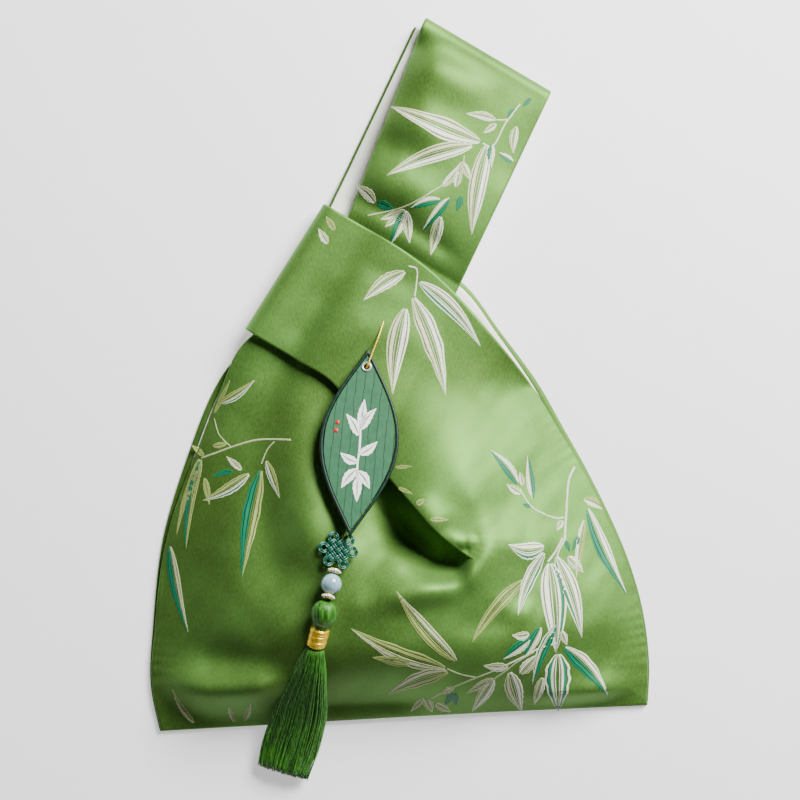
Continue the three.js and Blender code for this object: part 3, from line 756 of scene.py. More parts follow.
def add_handle():
    top = fold_under(
        strap_grid(FRONT_EDGES, -NECK_DEPTH, HANDLE_RUN, STRAP_ROWS, STRAP_COLUMNS, strap_height),
        STRAP_DIRECTION, HANDLE_BACK_Z, FOLD_STEPS,
    )
    bottom = handle_back_grid(UNDER_COLUMNS, UNDER_ROWS)
    bottom_inside = handle_back_grid(UNDER_COLUMNS, UNDER_ROWS, UNDER_EDGE)
    layers = [
        ("handle_top_cloth", top, CLOTH, 0, SATIN, ("handle_front", "neck_front"), ["handle_under_cloth"]),
        ("handle_top_lining", top, LINING, -LINING_OFFSET, CREAM,
         ("handle_front_lining", "neck_front_lining"), ["handle_under_cloth"]),
        ("handle_under_cloth", bottom, CLOTH, 0, BACK_SATIN_PAINTED_SHADE, ("handle_back", "neck_back"), []),
        ("handle_under_lining", bottom_inside, LINING, LINING_OFFSET, CREAM,
         ("handle_back_lining", "neck_back_lining"), ["handle_under_cloth"]),
    ]
    for name, grid, thickness, offset, material, nodes, rests_on in layers:
        bend_at_loop(cloth_piece(
            name, surface_of(grid), thickness, offset, material, None, nodes,
        ))


add_handle()

# ---- Linings of the body ----


def add_body_linings():
    front_in = body_layer(
        tucked(LEFT_SIDE, LEFT_TUCK), tucked(RIGHT_SIDE, RIGHT_TUCK), (left_height, loop_height),
        LINING_COLUMNS, LINING_ROWS, FOLD_RADIUS, True,
    )
    back_in = body_layer(
        tucked(LEFT_SIDE_BACK, LEFT_TUCK), tucked(RIGHT_SIDE_BACK, RIGHT_TUCK),
        (left_back_height, right_back_height), LINING_COLUMNS, LINING_ROWS, BACK_FOLD_IN, False,
    )
    cloth_piece("front_inner", front_in, LINING, -LINING_OFFSET, CREAM, "bag", ["front_lining"])
    cloth_piece("back_inner", back_in, LINING, LINING_OFFSET, CREAM, "bag", ["back_lining"])


add_body_linings()

# ---- Bamboo brocade ----

LEAF_RISE = CLOTH / 2 + 0.03
MIDRIB = 0.13
LEAF_STEPS = 18
STEM_THREADS = 20
LEAF_CELLS = (MIDRIB, MIDRIB + 0.06, 0.5, 0.92, 1)


def on_cloth(height):
    """Lifts plan points on to a cloth surface, standing a little above it."""
    step = 0.3

    def lift(x, y, above=LEAF_RISE):
        slope_x = (height(x + step, y) - height(x - step, y)) / (2 * step)
        slope_y = (height(x, y + step) - height(x, y - step)) / (2 * step)
        normal = np.stack([-slope_x, -slope_y, np.ones_like(x)], axis=-1)
        normal /= np.linalg.norm(normal, axis=-1, keepdims=True)
        return np.stack([x, y, height(x, y)], axis=-1) + normal * above

    return lift


def half_blade(tip, base, half_width, side, bend, lift):
    """One half of a leaf, from its midrib to its edge, with a thread coordinate."""
    tip, base = np.array(tip, float), np.array(base, float)
    axis = tip - base
    length = np.hypot(*axis)
    across = np.array([axis[1], -axis[0]]) / length
    t = np.linspace(0.02, 0.995, LEAF_STEPS)[:, None]
    s = np.array(LEAF_CELLS)[None, :]
    profile = half_width * np.sin(np.pi * t**0.72) ** 1.05 + 0.1
    jag = 1 + 0.07 * np.sin(t * length * 2.6) * (s > 0.9)
    away = side * s * profile * jag + bend * length * np.sin(np.pi * t)
    plan = base + t[..., None] * axis + away[..., None] * across
    grid = lift(plan[..., 0], plan[..., 1])
    uv = np.stack([np.broadcast_to(s, away.shape), np.broadcast_to(t * length, away.shape)], axis=-1)
    return grid, uv


def strip(line, width, lift):
    """A stem, drawn as a narrow strip along a curve."""
    t = np.linspace(0, 1, 8 * len(line))
    centre = spline(line, t)
    ahead = np.gradient(centre, axis=0)
    across = np.stack([ahead[:, 1], -ahead[:, 0]], axis=1) / np.hypot(*ahead.T)[:, None]
    s = np.linspace(-0.5, 0.5, 3)[None, :, None]
    plan = centre[:, None, :] + across[:, None, :] * s * width
    grid = lift(plan[..., 0], plan[..., 1])
    shape = grid.shape[:2]
    uv = np.stack([
        np.broadcast_to(s[..., 0], shape), np.broadcast_to(t[:, None] * STEM_THREADS, shape),
    ], axis=-1)
    return grid, uv


def brocade(name, leaves, stems, lift, body, looks):
    """Leaves are (tip, base, width, colours of the two halves, bend); stems are (line, width, colour)."""
    points, faces, slots, uvs, start = [], [], [], [], 0
    patches = []
    for tip, base, width, colours, bend in leaves:
        # A leaf given as cream on both halves gets the painted-shade cream on its second half, one half
        # drawn as if turned from the light.
        for side, colour in zip((-1, 1), colours.replace("cc", "cd")):
            patches.append((*half_blade(tip, base, width / 2, side, bend, lift), colour))
    for line, width, colour in stems:
        patches.append((*strip(line, width, lift), colour))
    for grid, uv, colour in patches:
        patch_points, quads = surface_of(grid)
        if vertex_normals(patch_points, quads)[:, 2].mean() < 0:
            quads = quads[:, ::-1]
        made, patch_faces, source = shell(patch_points, quads, LEAF_THICK)
        points.append(made)
        faces.append(patch_faces + start)
        slots.append(np.full(len(patch_faces), LEAF_SLOTS[colour]))
        uvs.append(uv.reshape(-1, 2)[source])
        start += len(made)
    return piece(
        name, np.concatenate(points), np.concatenate(faces).tolist(), looks, body,
        np.concatenate(slots), np.concatenate(uvs),
    )


HANDLE_LEAVES = [
    ((-4.6, 142.6), (39.4, 124.6), 10, "cc", -0.02), ((-6.5, 108.2), (35.5, 123.2), 8.5, "cc", 0.05),
    ((34.5, 79.7), (42.3, 124), 9, "cc", 0.03), ((31.6, 138.6), (46.6, 135.7), 4, "cc", 0.05),
    ((40.3, 129), (46.6, 133.8), 3, "cc", 0), ((54.8, 119.3), (56.3, 132.8), 4, "cc", 0.05),
    ((47.6, 119.8), (54.8, 115.4), 3, "tc", 0), ((29.7, 115), (20, 102.4), 3.5, "cc", 0.05),
    ((29.7, 115), (26.8, 102.4), 3.5, "cc", 0), ((34, 105.8), (29.7, 115), 3.5, "cc", 0),
    ((-21.5, 104.5), (-11.8, 95.6), 5, "cc", 0.05), ((-3.1, 92.7), (-10.9, 95.6), 4, "tt", 0),
    ((5.1, 92.7), (19.6, 96.6), 4, "tc", 0.05), ((10.9, 82.1), (23.9, 97.6), 4, "tc", 0),
    ((14.7, 70), (19.6, 88.9), 5.5, "cc", 0), ((27.3, 91.3), (29.7, 98.5), 3, "tt", 0),
    ((-9.4, 87.4), (2.7, 91.8), 4, "cc", 0), ((-7.5, 83.6), (2.7, 91.8), 4, "cc", 0),
    ((-4.6, 75.4), (2.7, 91.8), 5, "ct", 0), ((4.6, 75.8), (2.7, 91.8), 5, "cc", 0),
    ((52, 137), (55.5, 141), 2.4, "tt", 0), ((59.5, 142.5), (63.5, 146.5), 2, "tt", 0),
    ((44, 112), (44.5, 124), 3.6, "ct", 0.04),
]
HANDLE_STEMS = [
    ([(58.2, 143.5), (51, 134), (45.2, 123.2), (40, 124)], 0.6, "c"),
    ([(-15.7, 89.4), (2.7, 93.7), (17.1, 101.4), (28.7, 109.2), (31, 118)], 0.6, "d"),
    ([(46.6, 135.7), (52, 136), (55, 139)], 0.5, "c"),
]
LOOP_LEAVES = [
    ((-18.1, 47.8), (2.7, 62.3), 6.8, "cc", 0.05), ((38.9, 26.1), (8.9, 57.5), 7.7, "cm", -0.06),
    ((22, 1.9), (6, 50.2), 9.6, "cc", -0.04), ((-3.6, 2.4), (2.7, 44.9), 9.6, "cc", 0.04),
    ((-39.5, 83), (-35, 75.5), 3.5, "cc", 0), ((-36, 89), (-31.5, 82), 3, "oo", 0),
    ((5.6, -31.9), (-2.2, -32.4), 1.6, "oo", 0), ((6, -44.9), (-0.7, -42), 1.6, "oo", 0),
    ((11.8, -47.3), (8, -50), 2.6, "oo", 0), ((22.9, -57), (14, -56.6), 2.2, "oo", 0),
    ((43.2, -24.2), (56.8, -40.6), 5, "tc", 0.05), ((51, -40.6), (58.2, -45.4), 3.6, "cc", 0),
    ((57.7, -34.8), (59.2, -41.5), 2.6, "cc", 0), ((61.6, -27), (64, -47.8), 4, "ct", 0),
    ((59.2, -50.2), (63, -51.7), 1.8, "tt", 0), ((75.6, -63.3), (78.5, -58.4), 3, "cc", 0),
    ((100.2, -54.1), (89.6, -48.3), 4.2, "oc", -0.06), ((110.4, -94.7), (91, -52.6), 6.8, "ct", 0.03),
    ((85.2, -86.5), (89.6, -58), 3.8, "oc", 0.02), ((83.3, -72.9), (86.7, -66.2), 2.4, "tt", 0),
    ((81.9, -73.4), (79.9, -68.1), 2, "tt", 0), ((88.6, -83.6), (80.9, -75.8), 5, "cc", 0),
    ((51.4, -69), (69.3, -71), 8, "mc", -0.14), ((56.3, -103.4), (69.3, -73), 6.2, "mc", 0.05),
    ((34.1, -115.9), (59.2, -86), 6, "oo", 0.05), ((75, -122), (71.9, -78), 13, "mc", -0.02),
    ((64, -137.7), (75, -108), 5, "tm", 0.06), ((87.7, -115), (75, -75), 8, "cm", -0.04),
    ((101.2, -143.9), (79, -119), 7.6, "ct", -0.05), ((77.5, -152.5), (76.1, -122), 12.5, "mm", 0.02),
    ((65.4, -148.3), (68.8, -133.8), 4.6, "cc", 0), ((59.6, -152.4), (52.5, -130.5), 8.4, "cc", 0.02),
    ((49, -124.1), (62.1, -114.5), 5, "ct", 0), ((59.2, -124.1), (67.4, -108.7), 5, "ct", 0),
    ((53.4, -112.4), (61.8, -112), 4, "cc", -0.1), ((66, -122.2), (57.7, -131.9), 5.6, "cc", 0),
    ((80.4, -118.3), (77.5, -111.2), 3.6, "cc", 0), ((39.8, -127), (51.9, -128), 4.4, "cc", -0.04),
]
LOOP_STEMS = [
    ([(4.1, 64.7), (8, 63.3), (8, 57), (7, 50)], 0.6, "c"),
    ([(57.7, -43), (63.5, -51.7), (74.1, -57), (79.5, -57)], 0.55, "c"),
    ([(85.2, -32.8), (81.9, -40), (80.4, -56.5), (79.5, -67)], 0.9, "m"),
    ([(78.5, -67), (75, -73), (71, -78)], 0.9, "c"), ([(80, -67), (77, -72), (75.5, -76)], 0.7, "c"),
    ([(45.5, -129.6), (57.7, -123.7), (66, -119.6), (75.5, -117)], 0.7, "c"),
    ([(44.5, -134.5), (50, -130.5), (56.8, -125.1), (64, -121)], 0.6, "d"),
]
BODY_LEAVES = [
    ((-70.8, 9.7), (-88, -1.9), 4.2, "om", 0.05), ((-82.8, 9.5), (-91, -7), 2, "oo", 0),
    ((-57.7, -47.3), (-64.6, -29.3), 4, "om", 0), ((-76.2, -86), (-67, -33.3), 8, "ot", 0.02),
    ((-96, -49.1), (-72.7, -35.7), 5.4, "mo", -0.05), ((-84.3, -27.5), (-76.7, -34.1), 3, "cc", 0),
    ((-91.2, -37.2), (-80.9, -34.8), 2.4, "tt", 0.05), ((-92.5, -51), (-95, -38), 3, "oo", 0),
    ((-83.3, -21.3), (-91.2, -22.7), 2.4, "oo", 0), ((-104.2, -72.8), (-96.8, -29), 4.6, "ot", 0.04),
    ((-106, -56), (-97.6, -28.5), 4, "oo", 0.03), ((-101.7, -50), (-96.8, -29), 3, "oo", 0),
    ((-109, -66), (-100.5, -34), 2.4, "oo", 0.02), ((-102, -22), (-95.6, -27.5), 2.6, "oo", 0),
    ((-102.8, -113), (-112.4, -71), 5.4, "dt", 0.03), ((-110.5, -141), (-100.6, -158), 3.2, "do", -0.04),
    ((-83.3, -147.8), (-80.9, -157), 2.6, "do", 0), ((-71.9, -145.9), (-76, -156.6), 2.6, "od", 0),
    ((-1.7, -90.8), (27.3, -125.1), 7.4, "od", -0.04), ((-23.4, -108.7), (22.5, -128.5), 7.8, "do", -0.05),
    ((-13.3, -122.7), (5.5, -125.8), 4.6, "oo", 0), ((-6.5, -143), (23.4, -129.9), 7.6, "od", 0.06),
    ((32.1, -141.5), (45, -133.8), 4, "dd", 0), ((35.2, -152), (45.2, -134), 6, "cd", 0),
    ((5.1, -152.1), (11.8, -144.4), 3, "dd", 0), ((15.7, -152.1), (12.8, -144.9), 4.4, "dd", 0),
    ((24.9, -152.1), (17.1, -147.3), 4, "dd", 0), ((22, -148.3), (25.4, -141.5), 3, "tt", 0),
    ((27.3, -148.8), (26.8, -141.5), 3, "tt", 0), ((19, -142), (26, -138.6), 3, "dd", 0),
]
BODY_STEMS = [
    ([(-96.8, -28.5), (-90, -26), (-79, -22), (-67.9, -19.3), (-52.6, -19.3)], 0.7, "d"),
    ([(-90.6, -9.2), (-88, -17), (-82.3, -22.7)], 0.4, "d"),
    ([(-60.6, -20.3), (-64, -24), (-67, -31)], 0.5, "d"),
    ([(15.2, -144.4), (26.8, -137.7), (45.5, -129.6)], 0.7, "d"),
    ([(22.5, -128.5), (29, -131.5), (36, -133)], 0.6, "d"),
]

brocade("leaves_on_loop", LOOP_LEAVES, LOOP_STEMS, on_cloth(loop_height), "bag", LEAF_LOOKS)
brocade("leaves_on_body", BODY_LEAVES, BODY_STEMS, on_cloth(left_height), "bag", LEAF_LOOKS)
bend_at_loop(brocade(
    "leaves_on_handle", HANDLE_LEAVES, HANDLE_STEMS, on_cloth(strap_height), None, LEAF_LOOKS,
))

# ---- Rigid and corded pieces ----

TAG_HOLE = (-16.1, 15.6, 21)
TAG_HEADING = np.array([0.094, 0.9956, 0]) / math.hypot(0.094, 0.9956)
TAG_TILT = 0.197
TAG_ABOVE_HOLE = 9.5
TAG_LENGTH = 92.6
TAG_HALF_WIDTH = 18.9
TAG_POINTEDNESS = 1.12
TAG_BORDER = 1.4
TAG_BORDER_SLANT = 1.16
TAG_THICK = 2.4
CARD_TOP = 2.1
THREAD_RADIUS = 0.45
THREAD_KNOT = (-8.6, 38.0, 18.5)
CHARM_CENTRE = (-29.6, -71.7, 35.0)
CHARM_TURN = -0.16
CHARM_TILT = 0.1
STRAND_TOP = np.array([-30.9, -80.1, 36.4])
STRAND_DIRECTION = np.array([-0.229, -0.973, 0.31])
STRAND_DIRECTION /= np.linalg.norm(STRAND_DIRECTION)
TASSEL_DIRECTION = np.array([-0.24, -0.93, -0.33])
TASSEL_DIRECTION /= np.linalg.norm(TASSEL_DIRECTION)
RING_THICK = 2.2
BEAD_RADIUS = 5
BORE_RADIUS = 0.85
CORE_RADIUS = 0.5
JOINT_GAP = 0.3
HEAD_RADIUS = 6.3
HEAD_LENGTH = 13.6
HEAD_PLAY = 0.9
WRAP_RADIUS = 4.7
WRAP_LENGTH = 10.4
SKIRT = [
    ((-40.4, -118.3, 33.3), 4.3, 3.8), ((-42.6, -128, 29.0), 7.4, 4.2), ((-45.2, -138, 22.8), 10.2, 4.2),
    ((-47.4, -147, 16.9), 12.3, 4.1), ((-49.9, -157, 11.4), 13.2, 4.0), ((-54.0, -170, 6.2), 13.8, 3.8),
    ((-57.6, -182, 4.2), 12.4, 3.4),
]


def basis_along(direction, up=(0, 0, 1)):
    """Three unit vectors, the last one along the direction."""
    side = np.cross(up, direction)
    side = side / np.linalg.norm(side)
    return np.array([side, np.cross(direction, side), direction])


def turned(profile, at, direction, sides=48):
    """A solid of revolution from (radius, distance along) pairs that close on themselves."""
    profile = np.array(profile, float)
    angle = np.linspace(0, 2 * np.pi, sides, endpoint=False)
    side, other, along = basis_along(direction)
    r, h = profile[:, 0, None, None], profile[:, 1, None, None]
    grid = at + r * (np.cos(angle)[None, :, None] * side + np.sin(angle)[None, :, None] * other) + h * along
    quads = grid_quads(len(profile), sides, closed=True)
    return grid.reshape(-1, 3), quads[:, ::-1]


def end_fans(rings, count):
    """Faces that close both ends of a tube, to the two points that follow its rings."""
    near, far = rings * count, rings * count + 1
    last = (rings - 1) * count
    fans = [[near, near, (b + 1) % count, b] for b in range(count)]
    fans += [[far, far, last + b, last + (b + 1) % count] for b in range(count)]
    return np.array(fans)


def tube(line, radius, sides=8, twist=0.0, plies=0.0):
    """A closed tube along a line of points. Plies give it the lobes of a twisted thread."""
    line = np.asarray(line, float)
    ahead = np.gradient(line, axis=0)
    ahead /= np.linalg.norm(ahead, axis=1, keepdims=True)
    side = np.cross(ahead, (0.03, 0.02, 1.0))
    side /= np.linalg.norm(side, axis=1, keepdims=True)
    up = np.cross(side, ahead)
    angle = np.linspace(0, 2 * np.pi, sides, endpoint=False)[None, :]
    distance = np.concatenate([[0], np.cumsum(np.linalg.norm(np.diff(line, axis=0), axis=1))])[:, None]
    lobes = 1 - plies + plies * np.abs(np.cos(angle + distance * twist))
    reach = np.broadcast_to(np.reshape(radius, (-1, 1)), (len(line), 1)) * lobes
    grid = line[:, None, :] + (reach * np.cos(angle))[..., None] * side[:, None, :]
    grid = grid + (reach * np.sin(angle))[..., None] * up[:, None, :]
    rings, count = grid.shape[:2]
    points = np.concatenate([grid.reshape(-1, 3), line[:1], line[-1:]])
    quads = grid_quads(rings, count, closed=True)
    return points, np.concatenate([quads, end_fans(rings, count)])


def loose_faces(quads):
    """Quads as lists, with the doubled corners of the caps taken out."""
    return [list(dict.fromkeys(map(int, q))) for q in quads]


def rigid(name, parts, material, body, *nodes):
    """A piece made of closed solids, standing for CAD nodes."""
    points, quads = joined(*parts)
    obj = piece(name, points, loose_faces(quads), [material], body)
    if nodes:
        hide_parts(*nodes)
    return obj


def strands_look(name, dark, light, roughness=0.42):
    """Silk floss: fine parallel fibres, each a little lighter or darker than its neighbour."""
    look = Look(name, roughness=roughness, **{
        "Sheen Weight": 0.25, "Sheen Roughness": 0.3, "Sheen Tint": (0.5, 1, 0.4, 1),
        "Specular Tint": (0.7, 1, 0.6, 1),
    })
    fibres = look.noise(1100, 2, None, (1, 0.06, 1))
    look.color(look.ramp(fibres, (0.3, dark), (0.7, light)))
    return look.bump(fibres, 0.3, 0.0001).material


def gold_look(name, dark, light, scale):
    look = Look(name, metallic=0.65)
    tone_mask = look.noise(scale, 3)
    look.color(look.ramp(tone_mask, (0.3, dark), (0.7, light)))
    look.roughness(look.between(tone_mask, 0.2, 0.38))
    return look.bump(tone_mask, 0.15, 0.00008).material


def tag_point(x, y, z):
    """A point of the tag's own plane, in drawing millimetres."""
    run, drop = math.cos(math.atan(TAG_TILT)), math.sin(math.atan(TAG_TILT))
    across = np.array([TAG_HEADING[1], -TAG_HEADING[0], 0])
    up = np.array([TAG_HEADING[0] * run, TAG_HEADING[1] * run, -drop])
    normal = np.cross(across, up)
    x, y, z = [np.asarray(v, float)[..., None] for v in (x, y, z)]
    return np.array(TAG_HOLE) + x * across + y * up + z * normal


def tag_outline(inset, steps):
    """Points round the leaf outline, or round one a border's width inside it."""
    narrowing = inset * TAG_BORDER_SLANT
    start = math.asin((narrowing / TAG_HALF_WIDTH) ** (1 / TAG_POINTEDNESS)) / math.pi
    t = lerp(start, 1 - start, np.linspace(0, 1, steps, endpoint=False))
    x = TAG_HALF_WIDTH * np.sin(np.pi * t) ** TAG_POINTEDNESS - narrowing
    y = TAG_LENGTH * (t - 0.5)
    middle = TAG_ABOVE_HOLE - TAG_LENGTH / 2
    return np.concatenate([x, -x]), np.concatenate([middle + y, middle - y])


def add_tag():
    border = Look("tag_border", **{"Specular IOR Level": 0.25})
    fleck = border.noise(500, 3)
    border.color(border.ramp(fleck, (0.3, (0.004, 0.016, 0.010)), (0.75, (0.010, 0.035, 0.022))))
    border.roughness(border.between(fleck, 0.35, 0.5))
    section = [
        (0, 0.35), (0, 2.0), (0.35, TAG_THICK), (1.05, TAG_THICK), (TAG_BORDER, 2.15), (TAG_BORDER, 0.2),
        (0.3, 0),
    ]
    loops = []
    for inset, z in section:
        x, y = tag_outline(inset, 60)
        loops.append(tag_point(x, y, np.full(len(x), z)))
    grid = np.array([*loops, loops[0]])
    quads = grid_quads(*grid.shape[:2], closed=True)
    rigid("tag_rim", [welded(grid.reshape(-1, 3), quads)], border.material, "tag", "tag_frame")

    ring = [
        (1.35, 1.2), (1.4, 2.25), (1.65, 2.62), (2.1, 2.68), (2.45, 2.5), (2.5, 2.25), (1.9, 2.1),
        (1.9, 0.2), (1.4, 0.2), (1.35, 1.2),
    ]
    metal = gold_look("eyelet_pale", (0.55, 0.6, 0.5), (0.85, 0.88, 0.8), 700)
    centre = tag_point(0, 0, 0)
    normal = tag_point(0, 0, 1) - centre
    rigid("tag_grommet", [turned(ring, centre, normal, 40)], metal, "tag", "tag_eyelet")
    frame["nodes"]["tag_card"].data.materials.clear()
    frame["nodes"]["tag_card"].data.materials.append(card_look())


LINE_SPACING = 4.2
LINE_WIDTH = 0.3


def card_look():
    """Printed green card, with thin parallel lines that jog a little to the side."""
    look = Look("tag_card", **{"Specular IOR Level": 0.3})
    place = look.place()
    origin = world(tag_point(0, 0, 0))
    axes = [tag_point(*v) - tag_point(0, 0, 0) for v in ((1, 0, 0), (0, 1, 0))]
    moved = look.node("ShaderNodeVectorMath", inputs={0: place, 1: tuple(origin)}, operation="SUBTRACT")

    def along(axis):
        inputs = {0: moved, 1: tuple(axis)}
        dotted = look.node("ShaderNodeVectorMath", "Value", inputs, operation="DOT_PRODUCT")
        return look.math("MULTIPLY", dotted, 1000)

    step = look.math("GREATER_THAN", look.noise(60, 0, place), 0.5)
    across = look.math("ADD", along(axes[0]), look.math("MULTIPLY", step, 0.4))
    from_line = look.math("PINGPONG", across, LINE_SPACING / 2)
    line = look.math("LESS_THAN", from_line, LINE_WIDTH / 2)
    paper = look.ramp(look.noise(300, 4, place), (0.3, (0.022, 0.115, 0.048)), (0.7, (0.034, 0.145, 0.064)))
    look.color(look.mix(line, paper, (0.004, 0.03, 0.012, 1)))
    look.roughness(look.between(look.noise(900, 2, place), 0.4, 0.55))
    return look.bump(look.noise(1200, 2, place), 0.08, 0.00005).material


SPRIG = [
    ((-7.5, -24), (-0.5, -34), 4.4, "cc", 0.06), ((6.5, -20), (0, -31), 4.4, "cc", -0.06),
    ((0.5, -16), (-0.2, -29), 4, "cc", 0), ((8.5, -36), (0.6, -43), 4.2, "cc", 0.07),
    ((-8.5, -43), (0, -47), 4.2, "cc", -0.08), ((-6.5, -60), (0.2, -50), 4.6, "cc", 0.06),
    ((7, -59), (0.6, -51), 4.6, "cc", -0.06), ((1.5, -66), (0.7, -54), 4, "cc", 0),
]
SPRIG_STEM = [([(-0.2, -28), (0.4, -40), (0.1, -48), (0.8, -56)], 0.9, "c")]
PRINT_RISE = CARD_TOP + 0.1
SEALS = [(-11.2, -28.4), (-11.6, -32.4)]
SEAL_SIZE = 1.9


def printed(x, y, above=PRINT_RISE):
    return tag_point(x, y, np.full(np.shape(x), above))


def add_print():
    """A plain bamboo sprig and two plain squares stand where a real tag has its lettering."""
    ink = Look("print_white", roughness=0.5)
    ink.color(ink.ramp(ink.noise(400, 3), (0.3, (0.82, 0.84, 0.80)), (0.7, (0.93, 0.94, 0.91))))
    red = Look("print_red", roughness=0.5)
    red.color(red.ramp(red.noise(900, 3), (0.3, (0.36, 0.01, 0.006)), (0.7, (0.5, 0.02, 0.012))))
    brocade("tag_sprig", SPRIG, SPRIG_STEM, printed, "tag", [ink.material] * 5)
    squares = []
    for cx, cy in SEALS:
        corner = np.array([-0.5, 0.5]) * SEAL_SIZE
        x, y = np.meshgrid(cx + corner, cy + corner)
        points, faces, _ = shell(*surface_of(printed(x, y)), 0.12)
        squares.append((points, faces))
    rigid("tag_seals", squares, red.material, "tag")


def add_thread():
    """One gold thread: from its stitches on the loop, through the tag's hole and back."""
    (kx, ky, kz), (hx, hy, hz) = THREAD_KNOT, TAG_HOLE
    over = hz + TAG_THICK + THREAD_RADIUS + JOINT_GAP
    route = [
        (kx + 0.7, ky, kz), (kx - 1.6, ky - 7, over - 3.2), (hx + 3.2, hy + 8.2, over - 1.5),
        (hx + 0.6, hy + 1.2, over), (hx, hy - 0.1, hz + TAG_THICK / 2), (hx + 0.3, hy + 1.2, hz - 1.4),
        (hx + 2.6, hy + 8.6, hz - 2.8), (kx - 1.4, ky - 3, kz - 0.2),
    ]
    line = spline(route, np.linspace(0, 1, 180))
    gold = gold_look("gold_thread", (0.70, 0.42, 0.02), (1.0, 0.74, 0.10), 1800)
    obj = rigid("gold_thread", [tube(line, THREAD_RADIUS, 12, 2.4, 0.28)], gold, "tag", "hang_thread")


def charm_turned(points):
    turn = np.array(Euler((-CHARM_TILT, 0, 0)).to_matrix()) @ np.array(Euler((0, 0, CHARM_TURN)).to_matrix())
    return np.asarray(points) @ turn.T + CHARM_CENTRE


CHARM_CORD = 0.46
CHARM_PAIR = 0.5
CHARM_SQUARE = 5.0
CHARM_PITCH = 2.5
CHARM_LOOP_RADII = (2.35, 1.5)
CHARM_LOOPS = [(-6.9, 0.4), (6.9, 0.4), (-3.1, 5.9), (4.4, 5.6), (-3.6, -5.4), (3.4, -5.8)]


def add_charm():
    """An endless knot of doubled cord: a diagonal weave with loops round it."""
    look = Look("charm_teal", **{"Coat Weight": 0.3, "Coat Roughness": 0.2})
    mottle = look.noise(700, 3)
    up = look.node("ShaderNodeSeparateXYZ", "Z", {"Vector": look.place("Normal")})
    side = look.ramp(mottle, (0.3, (0.0, 0.05, 0.03)), (0.7, (0.0, 0.12, 0.075)))
    edge = look.ramp(mottle, (0.3, (0.03, 0.14, 0.09)), (0.7, (0.12, 0.28, 0.2)))
    # The cords are drawn lighter where they face straight up, by their object normal.
    tone_mask = look.math("MULTIPLY", look.math("POWER", look.math("MAXIMUM", up, 0.0), 8.0), 0.55)
    look.color(look.mix(tone_mask, side, edge))
    look.roughness(look.between(mottle, 0.28, 0.45))
    parts = []
    for turn in (1, -1):
        for k in range(-2, 3):
            offset = k * CHARM_PITCH
            reach = CHARM_SQUARE * math.sqrt(2) - abs(offset)
            s = np.linspace(-reach, reach, 36)
            for pair in (-CHARM_PAIR, CHARM_PAIR):
                across = offset + pair
                x = (s - across) / math.sqrt(2)
                y = turn * (s + across) / math.sqrt(2)
                z = turn * 0.5 * np.cos(np.pi * (s / CHARM_PITCH + k)) + 0.2
                parts.append(tube(charm_turned(np.stack([x, y, z], axis=1)), CHARM_CORD, 8))
    angle = np.linspace(0, 2 * np.pi, 41)
    for cx, cy in CHARM_LOOPS:
        for radius in CHARM_LOOP_RADII:
            z = 0.35 * np.sin(3 * angle)
            ring = np.stack([cx + radius * np.cos(angle), cy + radius * np.sin(angle), z], axis=1)
            parts.append(tube(charm_turned(ring), CHARM_CORD, 8))
    rigid("charm_cords", parts, look.material, "tag", "charm_knot")


def ring_parts(at, direction):
    """A spacer ring's gold band; its row of round stones comes from stone_parts."""
    half = RING_THICK / 2
    band = [(BORE_RADIUS, -half)]
    band += [(2.35, -half), (2.6, -half + 0.3), (2.3, 0), (2.6, half - 0.3), (2.35, half)]
    band += [(BORE_RADIUS, half), (BORE_RADIUS, -half)]
    return turned(band, at, direction, 40)


def stone_parts(at, direction, stones=13, radius=0.62, reach=2.72):
    side, other, along = basis_along(direction)
    parts = []
    for angle in np.linspace(0, 2 * np.pi, stones, endpoint=False):
        centre = at + reach * (math.cos(angle) * side + math.sin(angle) * other)
        bend = np.linspace(-np.pi / 2 + 0.01, np.pi / 2 - 0.01, 9)
        ball = np.stack([radius * np.cos(bend), radius * np.sin(bend)], axis=1)
        parts.append(turned([*ball, ball[0]], centre, along, 12))
    return parts


